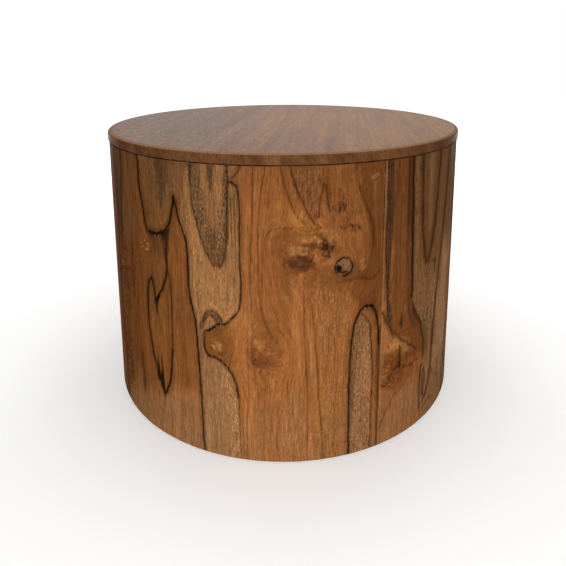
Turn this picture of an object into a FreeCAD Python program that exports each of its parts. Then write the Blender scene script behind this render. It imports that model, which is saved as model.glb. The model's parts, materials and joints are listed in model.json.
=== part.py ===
"""Round drum side table: a veneered drum on a plywood skeleton, with a lipped top and four levelling feet.

The table stands on the floor at Z = 0 with its axis on Z, and its front faces -Y. Bearings are degrees
round that axis, from the front towards +X. Lengths are millimetres.
"""
import FreeCAD
import Part
import Sketcher
import os
import re

# Overall sizes, and the gaps and clearances that the pieces share
TABLE_SIZES = {
    "overall_height": 450.0,
    "top_radius": 305.0,
    "top_thickness": 15.0,
    "top_overhang": 1.8,
    "shadow_gap": 1.5,
    "floor_gap": 2.0,
    "veneer_thickness": 0.8,
    "glue_line": 0.1,
    "seam_gap": 0.2,
    "fit_clearance": 0.2,
    "cut_overrun": 2.0,
}

# The solid lipping round the top
LIPPING_SIZES = {
    "lipping_width": 6.0,
    "upper_round": 4.5,
    "lower_round": 2.5,
}

# Skins, rings and stringers of the drum
DRUM_SIZES = {
    "skin_thickness": 4.0,
    "ring_thickness": 15.0,
    "ring_width": 55.0,
    "middle_ring_width": 40.0,
    "ring_chamfer": 2.0,
    "stringer_width": 40.0,
    "stringer_depth": 20.0,
    "stringer_chamfer": 3.0,
}

# Countersunk screws that hold the top to the uppermost ring
SCREW_SIZES = {
    "screw_length": 25.0,
    "screw_head_radius": 4.0,
    "screw_head_depth": 2.4,
    "screw_shank_radius": 2.0,
    "screw_tip_length": 5.0,
    "screw_clearance": 0.1,
}

# Threaded inserts, levelling screws and their swivel pads
FOOT_SIZES = {
    "insert_radius": 6.0,
    "insert_length": 12.0,
    "insert_flange_radius": 9.0,
    "insert_flange_thickness": 1.5,
    "insert_clearance": 0.05,
    "thread_radius": 4.0,
    "thread_clearance": 0.05,
    "thread_length": 30.0,
    "thread_chamfer": 1.0,
    "collar_across_flats": 13.0,
    "collar_thickness": 4.0,
    "stop_clearance": 0.3,
    "pad_radius": 15.0,
    "pad_thickness": 8.0,
    "pad_chamfer": 1.2,
    "pad_floor": 2.5,
    "pad_lip": 2.0,
    "socket_radius": 6.5,
    "swivel_clearance": 0.3,
}

DRIVING_SIZES = {**TABLE_SIZES, **LIPPING_SIZES, **DRUM_SIZES, **SCREW_SIZES, **FOOT_SIZES}

# Sizes and levels that follow from the driving ones
FORMULAS = {
    "drum_radius": "top_radius - top_overhang",
    "top_underside": "overall_height - top_thickness",
    "drum_top": "top_underside - shadow_gap",
    "lipping_inner": "top_radius - lipping_width",
    "core_radius": "lipping_inner - glue_line",
    "core_base": "top_underside + veneer_thickness",
    "face_base": "overall_height - veneer_thickness",
    "leaf_inner": "drum_radius - veneer_thickness",
    "outer_skin_outer": "leaf_inner - glue_line",
    "outer_skin_inner": "outer_skin_outer - skin_thickness",
    "inner_skin_outer": "outer_skin_inner - glue_line",
    "inner_skin_inner": "inner_skin_outer - skin_thickness",
    "ring_outer": "inner_skin_inner - glue_line",
    "ring_middle": "ring_outer - ring_width / 2",
    "notch_floor": "ring_outer - stringer_depth - fit_clearance",
    "stringer_inner": "ring_outer - stringer_depth",
    "stringer_angle": "stringer_width / ring_outer * 180 / pi",
    "notch_angle": "(stringer_width + 2 * fit_clearance) / ring_outer * 180 / pi",
    "joint_angle": "seam_gap / drum_radius * 180 / pi",
    "neck_radius": "thread_radius - thread_clearance",
    "socket_top": "pad_thickness - pad_lip",
    "collar_base": "pad_thickness + swivel_clearance",
    "collar_top": "collar_base + collar_thickness",
    "thread_top": "collar_top + thread_length",
    "flange_base": "collar_top + stop_clearance",
    "bottom_ring_base": "flange_base + insert_flange_thickness",
    "insert_top": "bottom_ring_base + insert_length",
    "top_ring_base": "top_underside - ring_thickness",
    "middle_ring_base": "(bottom_ring_base + top_ring_base) / 2",
    "screw_tip": "top_ring_base + screw_length",
    "pilot_radius": "screw_shank_radius + screw_clearance",
}

SHEET = "Sizes"
SIZE_NAMES = set(DRIVING_SIZES) | set(FORMULAS)

# Numbers of pieces, and where they stand round the axis
TOP_LEAF_COUNT = 4
TOP_GRAIN_BEARING = 6.0
SIDE_LEAF_SIDES = ("front", "right", "back", "left")
FIRST_SIDE_LEAF_BEARING = -18.0
INNER_SKIN_SIDES = ("front", "back")
FIRST_INNER_SKIN_BEARING = 0.0
OUTER_SKIN_SIDES = ("right", "left")
FIRST_OUTER_SKIN_BEARING = 90.0
RING_SIDES = ("front", "right", "back", "left")
FIRST_RING_BEARING = 0.0
STRINGER_COUNT = 8
FIRST_STRINGER_BEARING = 0.0
X_AXIS_BEARING = 90.0
FULL_TURN = 360.0
HEXAGON_CORNERS = 6

# Each bay between two stringers has one screw, and each quarter of the rings has one foot
BAY_BEARING = FIRST_STRINGER_BEARING + FULL_TURN / STRINGER_COUNT / 2
SCREW_COUNT = STRINGER_COUNT
FOOT_COUNT = len(RING_SIDES)


def bound(formula):
    """The formula with every size name pointed at its cell in the sheet."""
    def cell(word):
        return f"{SHEET}.{word[0]}" if word[0] in SIZE_NAMES else word[0]

    return re.sub(r"[a-z]\w*", cell, formula)


def add_sheet(doc):
    """Writes the driving sizes, then the formulas that follow from them, one named cell each."""
    sheet = doc.addObject("Spreadsheet::Sheet", SHEET)
    cells = {name: str(value) for name, value in DRIVING_SIZES.items()}
    cells.update({name: "=" + formula for name, formula in FORMULAS.items()})
    for row, (name, text) in enumerate(cells.items(), start=1):
        sheet.set(f"A{row}", name)
        sheet.set(f"B{row}", text)
        sheet.setAlias(f"B{row}", name)
    doc.recompute()


def origin_feature(body, role):
    """The body's own origin plane or axis of that role."""
    return next(feature for feature in body.Origin.OriginFeatures if feature.Role == role)


def turn_about_axis(bearing):
    """The placement that carries a piece modelled over +X round to a bearing."""
    upward = FreeCAD.Vector(0, 0, 1)
    return FreeCAD.Placement(FreeCAD.Vector(), FreeCAD.Rotation(upward, bearing - X_AXIS_BEARING))


def new_body(doc, label, bearing=X_AXIS_BEARING):
    """An empty body with its label, turned to a bearing."""
    body = doc.addObject("PartDesign::Body", label)
    body.Label = label
    body.AllowCompound = True
    body.Placement = turn_about_axis(bearing)
    return body


def close_outline(sketch, points):
    """Draws a closed outline through points, each held to the sketch's origin by two formulas."""
    formulas = [(bound(across), bound(up)) for across, up in points]
    corners = [FreeCAD.Vector(*(float(sketch.evalExpression(text)) for text in pair)) for pair in formulas]
    for index, corner in enumerate(corners):
        sketch.addGeometry(Part.LineSegment(corner, corners[(index + 1) % len(corners)]))
    for index, (corner, pair) in enumerate(zip(corners, formulas)):
        sketch.addConstraint(Sketcher.Constraint("Coincident", index, 2, (index + 1) % len(corners), 1))
        for kind, value, text in zip(("DistanceX", "DistanceY"), corner, pair):
            number = sketch.addConstraint(Sketcher.Constraint(kind, -1, 1, index, 1, value))
            sketch.setExpression(f"Constraints[{number}]", text)


def new_sketch(body, name, plane, points, turn=0.0, rise="0"):
    """A sketch of one closed outline on an origin plane, turned about Z or raised along it."""
    sketch = body.newObject("Sketcher::SketchObject", name)
    sketch.AttachmentSupport = [(origin_feature(body, plane), "")]
    sketch.MapMode = "FlatFace"
    upright = FreeCAD.Vector(0, 1, 0)
    sketch.AttachmentOffset = FreeCAD.Placement(FreeCAD.Vector(), FreeCAD.Rotation(upright, turn))
    sketch.setExpression("AttachmentOffset.Base.z", bound(rise))
    close_outline(sketch, points)
    return sketch


def upright_line(sketch, across):
    """A construction line along Z at a distance from the axis, for holes to be turned about."""
    distance = float(sketch.evalExpression(bound(across)))
    start = FreeCAD.Vector(distance, 0, 0)
    line = sketch.addGeometry(Part.LineSegment(start, start + FreeCAD.Vector(0, distance, 0)), True)
    sketch.addConstraint(Sketcher.Constraint("Vertical", line))
    number = sketch.addConstraint(Sketcher.Constraint("DistanceX", -1, 1, line, 1, distance))
    sketch.setExpression(f"Constraints[{number}]", bound(across))


def turned(body, kind, name, sketch, axis="V_Axis", angle=None):
    """A revolution or a groove of the sketch: a full turn, or an angle shared to both sides."""
    feature = body.newObject(f"PartDesign::{kind}", name)
    feature.Profile = sketch
    feature.ReferenceAxis = (sketch, [axis])
    feature.Angle = FULL_TURN
    if angle:
        feature.Midplane = True
        feature.setExpression("Angle", bound(angle))
    body.Document.recompute()
    return feature


def ring_pattern(body, feature, name, count):
    """Repeats a feature evenly round the axis."""
    pattern = body.newObject("PartDesign::PolarPattern", name)
    pattern.Originals = [feature]
    pattern.Axis = (origin_feature(body, "Z_Axis"), [""])
    pattern.Angle = FULL_TURN
    pattern.Occurrences = count
    body.Tip = pattern
    body.Document.recompute()
    return pattern


def grooves_round(body, name, sketch, count, axis="V_Axis", angle=None):
    """Cuts the sketch's groove and repeats it round the axis, and sees that it took material away."""
    before = body.Shape.Volume
    groove = turned(body, "Groove", f"{name}_cut", sketch, axis, angle)
    ring_pattern(body, groove, name, count)
    if body.Shape.Volume >= before:
        raise ValueError(f"{body.Label}: {name} cuts nothing")


def rectangle(inner, outer, base, top):
    """The corners of a section between two radii and two levels."""
    return [(inner, base), (outer, base), (outer, top), (inner, top)]


def plain_turned_piece(doc, label, section, bearing=X_AXIS_BEARING, angle=None):
    """A piece that is one section turned about the axis."""
    body = new_body(doc, label, bearing)
    sketch = new_sketch(body, f"{label}_section", "XZ_Plane", section)
    turned(body, "Revolution", f"{label}_turned", sketch, angle=angle)
    return body


def pilot_holes(body, base):
    """Round holes for the top's screws, from below a level up to just past the screws' tips."""
    edge = "ring_middle + pilot_radius"
    section = rectangle("ring_middle", edge, f"{base} - cut_overrun", "screw_tip + screw_clearance")
    sketch = new_sketch(body, f"{body.Name}_pilot_section", "XZ_Plane", section)
    upright_line(sketch, "ring_middle")
    grooves_round(body, f"{body.Name}_pilots", sketch, SCREW_COUNT, axis="Axis0")


def top_core(doc):
    """The board inside the top, with blind pilot holes in its underside."""
    section = rectangle("0", "core_radius", "core_base", "face_base")
    body = plain_turned_piece(doc, "top_core", section, BAY_BEARING)
    pilot_holes(body, "core_base")
    return body


def top_back_veneer(doc):
    """The balancing veneer under the core, pierced by the screws."""
    section = rectangle("0", "core_radius", "top_underside", "core_base")
    body = plain_turned_piece(doc, "top_back_veneer", section, BAY_BEARING)
    pilot_holes(body, "top_underside")
    return body


def round_edge(body, name, level, radius):
    """Rounds the circular outer edge of the top at a level."""
    base = body.Tip
    rim = float(base.evalExpression(bound("top_radius")))
    height = float(base.evalExpression(bound(level)))
    edges = [
        f"Edge{number}"
        for number, edge in enumerate(base.Shape.Edges, start=1)
        if edge.isClosed() and abs(edge.Curve.Radius - rim) < Part.Precision.confusion()
        and abs(edge.Curve.Center.z - height) < Part.Precision.confusion()
    ]
    fillet = body.newObject("PartDesign::Fillet", name)
    fillet.Base = (base, edges)
    fillet.setExpression("Radius", bound(radius))
    body.Document.recompute()


def top_lipping(doc):
    """The solid edge of the top, rounded more above than below."""
    section = rectangle("lipping_inner", "top_radius", "top_underside", "overall_height")
    body = plain_turned_piece(doc, "top_lipping", section)
    round_edge(body, "lipping_upper_round", "overall_height", "upper_round")
    round_edge(body, "lipping_lower_round", "top_underside", "lower_round")
    return body


def top_leaves(doc):
    """Face veneer: parallel leaves, jointed edge to edge and cut to the core's circle."""
    leaves = []
    leaf_width = f"2 * core_radius / {TOP_LEAF_COUNT}"
    for index in range(TOP_LEAF_COUNT):
        label = f"top_leaf_{index + 1}"
        disc = doc.addObject("Part::Cylinder", f"{label}_disc")
        disc.setExpression("Radius", bound("core_radius"))
        disc.setExpression("Height", bound("veneer_thickness"))
        disc.setExpression("Placement.Base.z", bound("face_base"))
        strip = doc.addObject("Part::Box", f"{label}_strip")
        strip.setExpression("Length", bound(f"{leaf_width} - seam_gap"))
        strip.setExpression("Width", bound("2 * core_radius"))
        strip.setExpression("Height", bound("veneer_thickness"))
        strip.setExpression("Placement.Base.x", bound(f"{index} * {leaf_width} + seam_gap / 2 - core_radius"))
        strip.setExpression("Placement.Base.y", bound("-core_radius"))
        strip.setExpression("Placement.Base.z", bound("face_base"))
        leaf = doc.addObject("Part::Common", label)
        leaf.Label = label
        leaf.Base = disc
        leaf.Tool = strip
        leaf.Placement = turn_about_axis(X_AXIS_BEARING - TOP_GRAIN_BEARING)
        leaves.append(leaf)
    return leaves


def notched_segment(doc, label, bearing, base, width):
    """A quarter of a flat ring with eased inner edges, notched outside where stringers stand."""
    inner = f"ring_outer - {width}"
    top = f"{base} + ring_thickness"
    section = [
        (f"{inner} + ring_chamfer", base),
        ("ring_outer", base),
        ("ring_outer", top),
        (f"{inner} + ring_chamfer", top),
        (inner, f"{top} - ring_chamfer"),
        (inner, f"{base} + ring_chamfer"),
    ]
    span = f"{FULL_TURN / len(RING_SIDES)} - joint_angle"
    body = plain_turned_piece(doc, label, section, bearing, span)
    past = "ring_outer + cut_overrun"
    notch = rectangle("notch_floor", past, f"{base} - cut_overrun", f"{top} + cut_overrun")
    sketch = new_sketch(body, f"{label}_notch_section", "XZ_Plane", notch)
    grooves_round(body, f"{label}_notches", sketch, STRINGER_COUNT, angle="notch_angle")
    return body


def screw_holes(body):
    """Countersunk holes through the top ring, one in each bay."""
    head = "ring_middle + screw_head_radius + screw_clearance"
    shank = "ring_middle + pilot_radius"
    section = [
        ("ring_middle", "top_ring_base - cut_overrun"),
        (head, "top_ring_base - cut_overrun"),
        (head, "top_ring_base"),
        (shank, "top_ring_base + screw_head_depth"),
        (shank, "top_underside + cut_overrun"),
        ("ring_middle", "top_underside + cut_overrun"),
    ]
    sketch = new_sketch(body, f"{body.Name}_screw_hole_section", "XZ_Plane", section, BAY_BEARING)
    upright_line(sketch, "ring_middle")
    grooves_round(body, f"{body.Name}_screw_holes", sketch, SCREW_COUNT, axis="Axis0")


def insert_bore(body):
    """The bore through the bottom ring for a threaded insert."""
    section = rectangle(
        "ring_middle",
        "ring_middle + insert_radius + insert_clearance",
        "bottom_ring_base - cut_overrun",
        "bottom_ring_base + ring_thickness + cut_overrun",
    )
    sketch = new_sketch(body, f"{body.Name}_bore_section", "XZ_Plane", section, BAY_BEARING)
    upright_line(sketch, "ring_middle")
    grooves_round(body, f"{body.Name}_bores", sketch, FOOT_COUNT, axis="Axis0")


def rings(doc):
    """Three rings in quarters, which meet behind stringers. The one at half height is narrower."""
    segments = []
    for index, side in enumerate(RING_SIDES):
        bearing = FIRST_RING_BEARING + index * FULL_TURN / len(RING_SIDES)
        upper = notched_segment(doc, f"top_ring_{side}", bearing, "top_ring_base", "ring_width")
        screw_holes(upper)
        middle = notched_segment(doc, f"middle_ring_{side}", bearing, "middle_ring_base", "middle_ring_width")
        lower = notched_segment(doc, f"bottom_ring_{side}", bearing, "bottom_ring_base", "ring_width")
        insert_bore(lower)
        segments += [upper, middle, lower]
    return segments


def stringers(doc):
    """Upright staves that stand in the rings' notches, curved to the drum outside and eased inside."""
    foot = "bottom_ring_base"
    head = "top_underside - fit_clearance"
    section = [
        ("stringer_inner + stringer_chamfer", foot),
        ("ring_outer", foot),
        ("ring_outer", head),
        ("stringer_inner + stringer_chamfer", head),
        ("stringer_inner", f"{head} - stringer_chamfer"),
        ("stringer_inner", f"{foot} + stringer_chamfer"),
    ]
    step = FULL_TURN / STRINGER_COUNT
    return [
        plain_turned_piece(
            doc, f"stringer_{index + 1}", section, FIRST_STRINGER_BEARING + index * step, "stringer_angle"
        )
        for index in range(STRINGER_COUNT)
    ]


def wall_pieces(doc, label, sides, first_bearing, inner, outer):
    """One layer of the drum's wall: equal curved pieces that meet at upright joints."""
    section = rectangle(inner, outer, "floor_gap", "drum_top")
    step = FULL_TURN / len(sides)
    span = f"{step} - joint_angle"
    return [
        plain_turned_piece(doc, f"{label}_{side}", section, first_bearing + index * step, span)
        for index, side in enumerate(sides)
    ]


def drum_wall(doc):
    """The wall from the inside out: two staggered layers of bending plywood, then the veneer."""
    layers = (
        ("inner_skin", INNER_SKIN_SIDES, FIRST_INNER_SKIN_BEARING, "inner_skin_inner", "inner_skin_outer"),
        ("outer_skin", OUTER_SKIN_SIDES, FIRST_OUTER_SKIN_BEARING, "outer_skin_inner", "outer_skin_outer"),
        ("side_leaf", SIDE_LEAF_SIDES, FIRST_SIDE_LEAF_BEARING, "leaf_inner", "drum_radius"),
    )
    return [piece for layer in layers for piece in wall_pieces(doc, *layer)]


def top_screws(doc):
    """Wood screws driven up through the top ring into the core, heads flush with the ring."""
    body = new_body(doc, "top_screws", BAY_BEARING)
    section = [
        ("ring_middle", "top_ring_base"),
        ("ring_middle + screw_head_radius", "top_ring_base"),
        ("ring_middle + screw_shank_radius", "top_ring_base + screw_head_depth"),
        ("ring_middle + screw_shank_radius", "screw_tip - screw_tip_length"),
        ("ring_middle", "screw_tip"),
    ]
    sketch = new_sketch(body, "screw_section", "XZ_Plane", section)
    upright_line(sketch, "ring_middle")
    screw = turned(body, "Revolution", "screw_turned", sketch, axis="Axis0")
    ring_pattern(body, screw, "screws_round", SCREW_COUNT)
    return body


def threaded_inserts(doc):
    """Flanged sleeves in the bottom ring, each with its flange against the ring's underside."""
    body = new_body(doc, "threaded_inserts", BAY_BEARING)
    section = [
        ("ring_middle + thread_radius", "flange_base"),
        ("ring_middle + insert_flange_radius", "flange_base"),
        ("ring_middle + insert_flange_radius", "bottom_ring_base"),
        ("ring_middle + insert_radius", "bottom_ring_base"),
        ("ring_middle + insert_radius", "insert_top"),
        ("ring_middle + thread_radius", "insert_top"),
    ]
    sketch = new_sketch(body, "insert_section", "XZ_Plane", section)
    upright_line(sketch, "ring_middle")
    insert = turned(body, "Revolution", "insert_turned", sketch, axis="Axis0")
    ring_pattern(body, insert, "inserts_round", FOOT_COUNT)
    return body


def stand_on_foot_circle(body, index):
    """Moves a foot piece from the axis out to its place under the bottom ring."""
    bearing = BAY_BEARING + index * FULL_TURN / FOOT_COUNT
    body.setExpression("Placement.Base.x", bound(f"ring_middle * sin({bearing})"))
    body.setExpression("Placement.Base.y", bound(f"-ring_middle * cos({bearing})"))


def hexagon():
    """The corners of the wrench collar."""
    corner_radius = "collar_across_flats / sqrt(3)"
    step = FULL_TURN / HEXAGON_CORNERS
    return [
        (f"{corner_radius} * cos({index * step})", f"{corner_radius} * sin({index * step})")
        for index in range(HEXAGON_CORNERS)
    ]


def levelling_screw(doc, index):
    """A threaded stud with a wrench collar, and a disc below that its pad holds captive."""
    label = f"levelling_screw_{index + 1}"
    disc_radius = "socket_radius - swivel_clearance"
    disc_base = "pad_floor + stop_clearance"
    disc_top = "socket_top - stop_clearance"
    section = [
        ("0", disc_base),
        (disc_radius, disc_base),
        (disc_radius, disc_top),
        ("neck_radius", disc_top),
        ("neck_radius", "thread_top - thread_chamfer"),
        ("neck_radius - thread_chamfer", "thread_top"),
        ("0", "thread_top"),
    ]
    body = plain_turned_piece(doc, label, section)
    outline = new_sketch(body, f"{label}_collar_outline", "XY_Plane", hexagon(), rise="collar_base")
    collar = body.newObject("PartDesign::Pad", f"{label}_collar")
    collar.Profile = outline
    collar.setExpression("Length", bound("collar_thickness"))
    stand_on_foot_circle(body, index)
    return body


def glide_pad(doc, index):
    """A round pad with an undercut socket that snaps over the disc of its screw."""
    mouth = "neck_radius + swivel_clearance"
    section = [
        ("0", "0"),
        ("pad_radius - pad_chamfer", "0"),
        ("pad_radius", "pad_chamfer"),
        ("pad_radius", "pad_thickness - pad_chamfer"),
        ("pad_radius - pad_chamfer", "pad_thickness"),
        (mouth, "pad_thickness"),
        (mouth, "socket_top"),
        ("socket_radius", "socket_top"),
        ("socket_radius", "pad_floor"),
        ("0", "pad_floor"),
    ]
    body = plain_turned_piece(doc, f"glide_pad_{index + 1}", section)
    stand_on_foot_circle(body, index)
    return body


def build(doc):
    """Every piece of the table, from the top down."""
    pieces = [top_core(doc), top_back_veneer(doc), top_lipping(doc)]
    pieces += top_leaves(doc)
    pieces += rings(doc)
    pieces += stringers(doc)
    pieces += drum_wall(doc)
    pieces += [top_screws(doc), threaded_inserts(doc)]
    for index in range(FOOT_COUNT):
        pieces += [levelling_screw(doc, index), glide_pad(doc, index)]
    doc.recompute()
    return pieces


def check(doc, pieces):
    """Stops before anything is written if an object failed or a piece isn't a sound solid."""
    for item in doc.Objects:
        if "Invalid" in item.State or "Error" in item.State:
            raise ValueError(f"{item.Label} failed: {item.State}")
    for piece in pieces:
        if piece.Shape.isNull() or not piece.Shape.isValid() or not piece.Shape.Solids:
            raise ValueError(f"{piece.Label} isn't a sound solid")


def export(pieces):
    """Writes each piece to its own file."""
    os.makedirs("parts", exist_ok=True)
    for piece in pieces:
        piece.Shape.exportStep(f"parts/{piece.Label}.step")
        print(f"{piece.Label}: {len(piece.Shape.Solids)} solid(s), {piece.Shape.Volume:.0f} mm3")


document = FreeCAD.newDocument("DrumSideTable")
add_sheet(document)
table_pieces = build(document)
check(document, table_pieces)
export(table_pieces)
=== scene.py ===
"""Looks of the drum side table: figured teak round the drum, straight-grained teak on its top.

Lengths are metres, as in the frame. The figure of the wood is drawn on the unrolled wall: bearings in
degrees from the front towards +X, heights and widths in millimetres.
"""

import json
import math
from collections import namedtuple

import bpy
import numpy as np
from mathutils import Matrix, Vector


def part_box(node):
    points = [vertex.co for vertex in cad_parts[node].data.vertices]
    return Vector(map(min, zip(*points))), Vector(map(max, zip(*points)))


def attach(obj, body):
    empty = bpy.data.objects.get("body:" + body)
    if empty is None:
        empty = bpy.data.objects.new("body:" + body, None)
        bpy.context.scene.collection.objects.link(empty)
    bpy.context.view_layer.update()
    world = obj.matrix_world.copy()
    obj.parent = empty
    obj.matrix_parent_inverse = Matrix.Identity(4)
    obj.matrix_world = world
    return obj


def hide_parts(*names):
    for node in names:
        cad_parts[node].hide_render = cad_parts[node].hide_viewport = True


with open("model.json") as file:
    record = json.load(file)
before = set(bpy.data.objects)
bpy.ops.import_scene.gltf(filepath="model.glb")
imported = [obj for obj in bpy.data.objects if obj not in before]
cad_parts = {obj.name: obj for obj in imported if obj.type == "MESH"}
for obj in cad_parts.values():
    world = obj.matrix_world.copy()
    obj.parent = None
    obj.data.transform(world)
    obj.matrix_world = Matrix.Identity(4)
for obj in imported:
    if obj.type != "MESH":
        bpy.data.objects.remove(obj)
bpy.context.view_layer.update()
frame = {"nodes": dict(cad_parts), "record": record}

# Sizes read from the frame
MM = 0.001
LEAF_LOW, LEAF_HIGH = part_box("side_leaf_front")
DRUM_RADIUS = -LEAF_LOW.y
DRUM_BASE = LEAF_LOW.z
DRUM_TOP = LEAF_HIGH.z
LIPPING_LOW, LIPPING_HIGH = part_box("top_lipping")
TOP_RADIUS = LIPPING_HIGH.x
TOP_UNDERSIDE = LIPPING_LOW.z
TOP_HEIGHT = LIPPING_HIGH.z

# Sizes that the frame's boxes don't give
VENEER = 0.8 * MM
SEAM_GAP = 0.2 * MM
LIPPING_WIDTH = 6.0 * MM
UPPER_ROUND = 4.5 * MM
LOWER_ROUND = 2.5 * MM
TOP_LEAF_COUNT = 4
TOP_GRAIN_LEAN = math.radians(6.0)

# How finely the made pieces are cut
LIPPING_SEGMENTS = 540
UPPER_ROUND_STEPS = 10
LOWER_ROUND_STEPS = 6
SHARP_ANGLE = math.radians(35)

# The unrolled wall, in millimetres: s runs round it and h up it
WALL_RADIUS = DRUM_RADIUS / MM
WALL_STEP = 1.7
CURVE_STEP = 0.9
FAR = 60.0
TINY = 1e-9
DISTANCES_AT_ONCE = 3_000_000

# Soft noises on the wall, in layers: strength, width and height of a cell, and seed
Noise = namedtuple("Noise", "strength width height seed")
NOISE_CELLS = 512
FIBRE_SWAY = (Noise(4.0, 60, 190, 5), Noise(1.2, 16, 80, 6))
KNOT_CURL = (Noise(1.0, 9, 11, 20), Noise(0.6, 4, 5, 40))
LINE_STEPS = (Noise(2.0, 2.8, 40, 31), Noise(1.2, 1.4, 40, 32))
LINE_WANDER = (Noise(0.5, 40, 8, 33),)
PATCH_EDGE = (Noise(1.0, 3.2, 45, 11), Noise(0.6, 1.6, 18, 12))
SPOT_EDGE = (Noise(0.3, 6.0, 6.0, 13), Noise(0.15, 2.5, 2.5, 14))

# Leaves of the wall: middle bearing, and how a bearing on the leaf is found in the drawn figure.
# The back leaf is turned over from the front one, and the left leaf repeats the right one.
LEAF_SPAN = 90.0
Leaf = namedtuple("Leaf", "middle figure_sign figure_offset")
LEAVES = {
    "front": Leaf(-18.0, 1.0, 0.0),
    "right": Leaf(72.0, 1.0, 0.0),
    "back": Leaf(162.0, -1.0, 144.0),
    "left": Leaf(252.0, 1.0, -180.0),
}

# Tones of the wood, as display colours from 0 to 255
TONES = {
    "orange": (142, 86, 43),
    "brown": (118, 71, 32),
    "umber": (84, 50, 25),
    "deep": (110, 64, 29),
    "tan": (152, 103, 59),
    "pale": (151, 104, 61),
    "ash": (138, 97, 60),
    "grey": (112, 78, 48),
    "slate": (82, 59, 40),
    "gold": (168, 111, 58),
    "rose": (164, 105, 62),
    # The next tone serves only the painted sheen low on the right leaf
    "mist": (172, 130, 92),
    "honey": (182, 121, 58),
    "peach": (184, 122, 66),
    "hazel": (132, 86, 45),
    "russet": (104, 57, 20),
    "rust": (118, 62, 33),
    "drab": (121, 82, 44),
    "black": (20, 12, 8),
}
BASE_TONE = "orange"
BASE_PORES = 0.35

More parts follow.
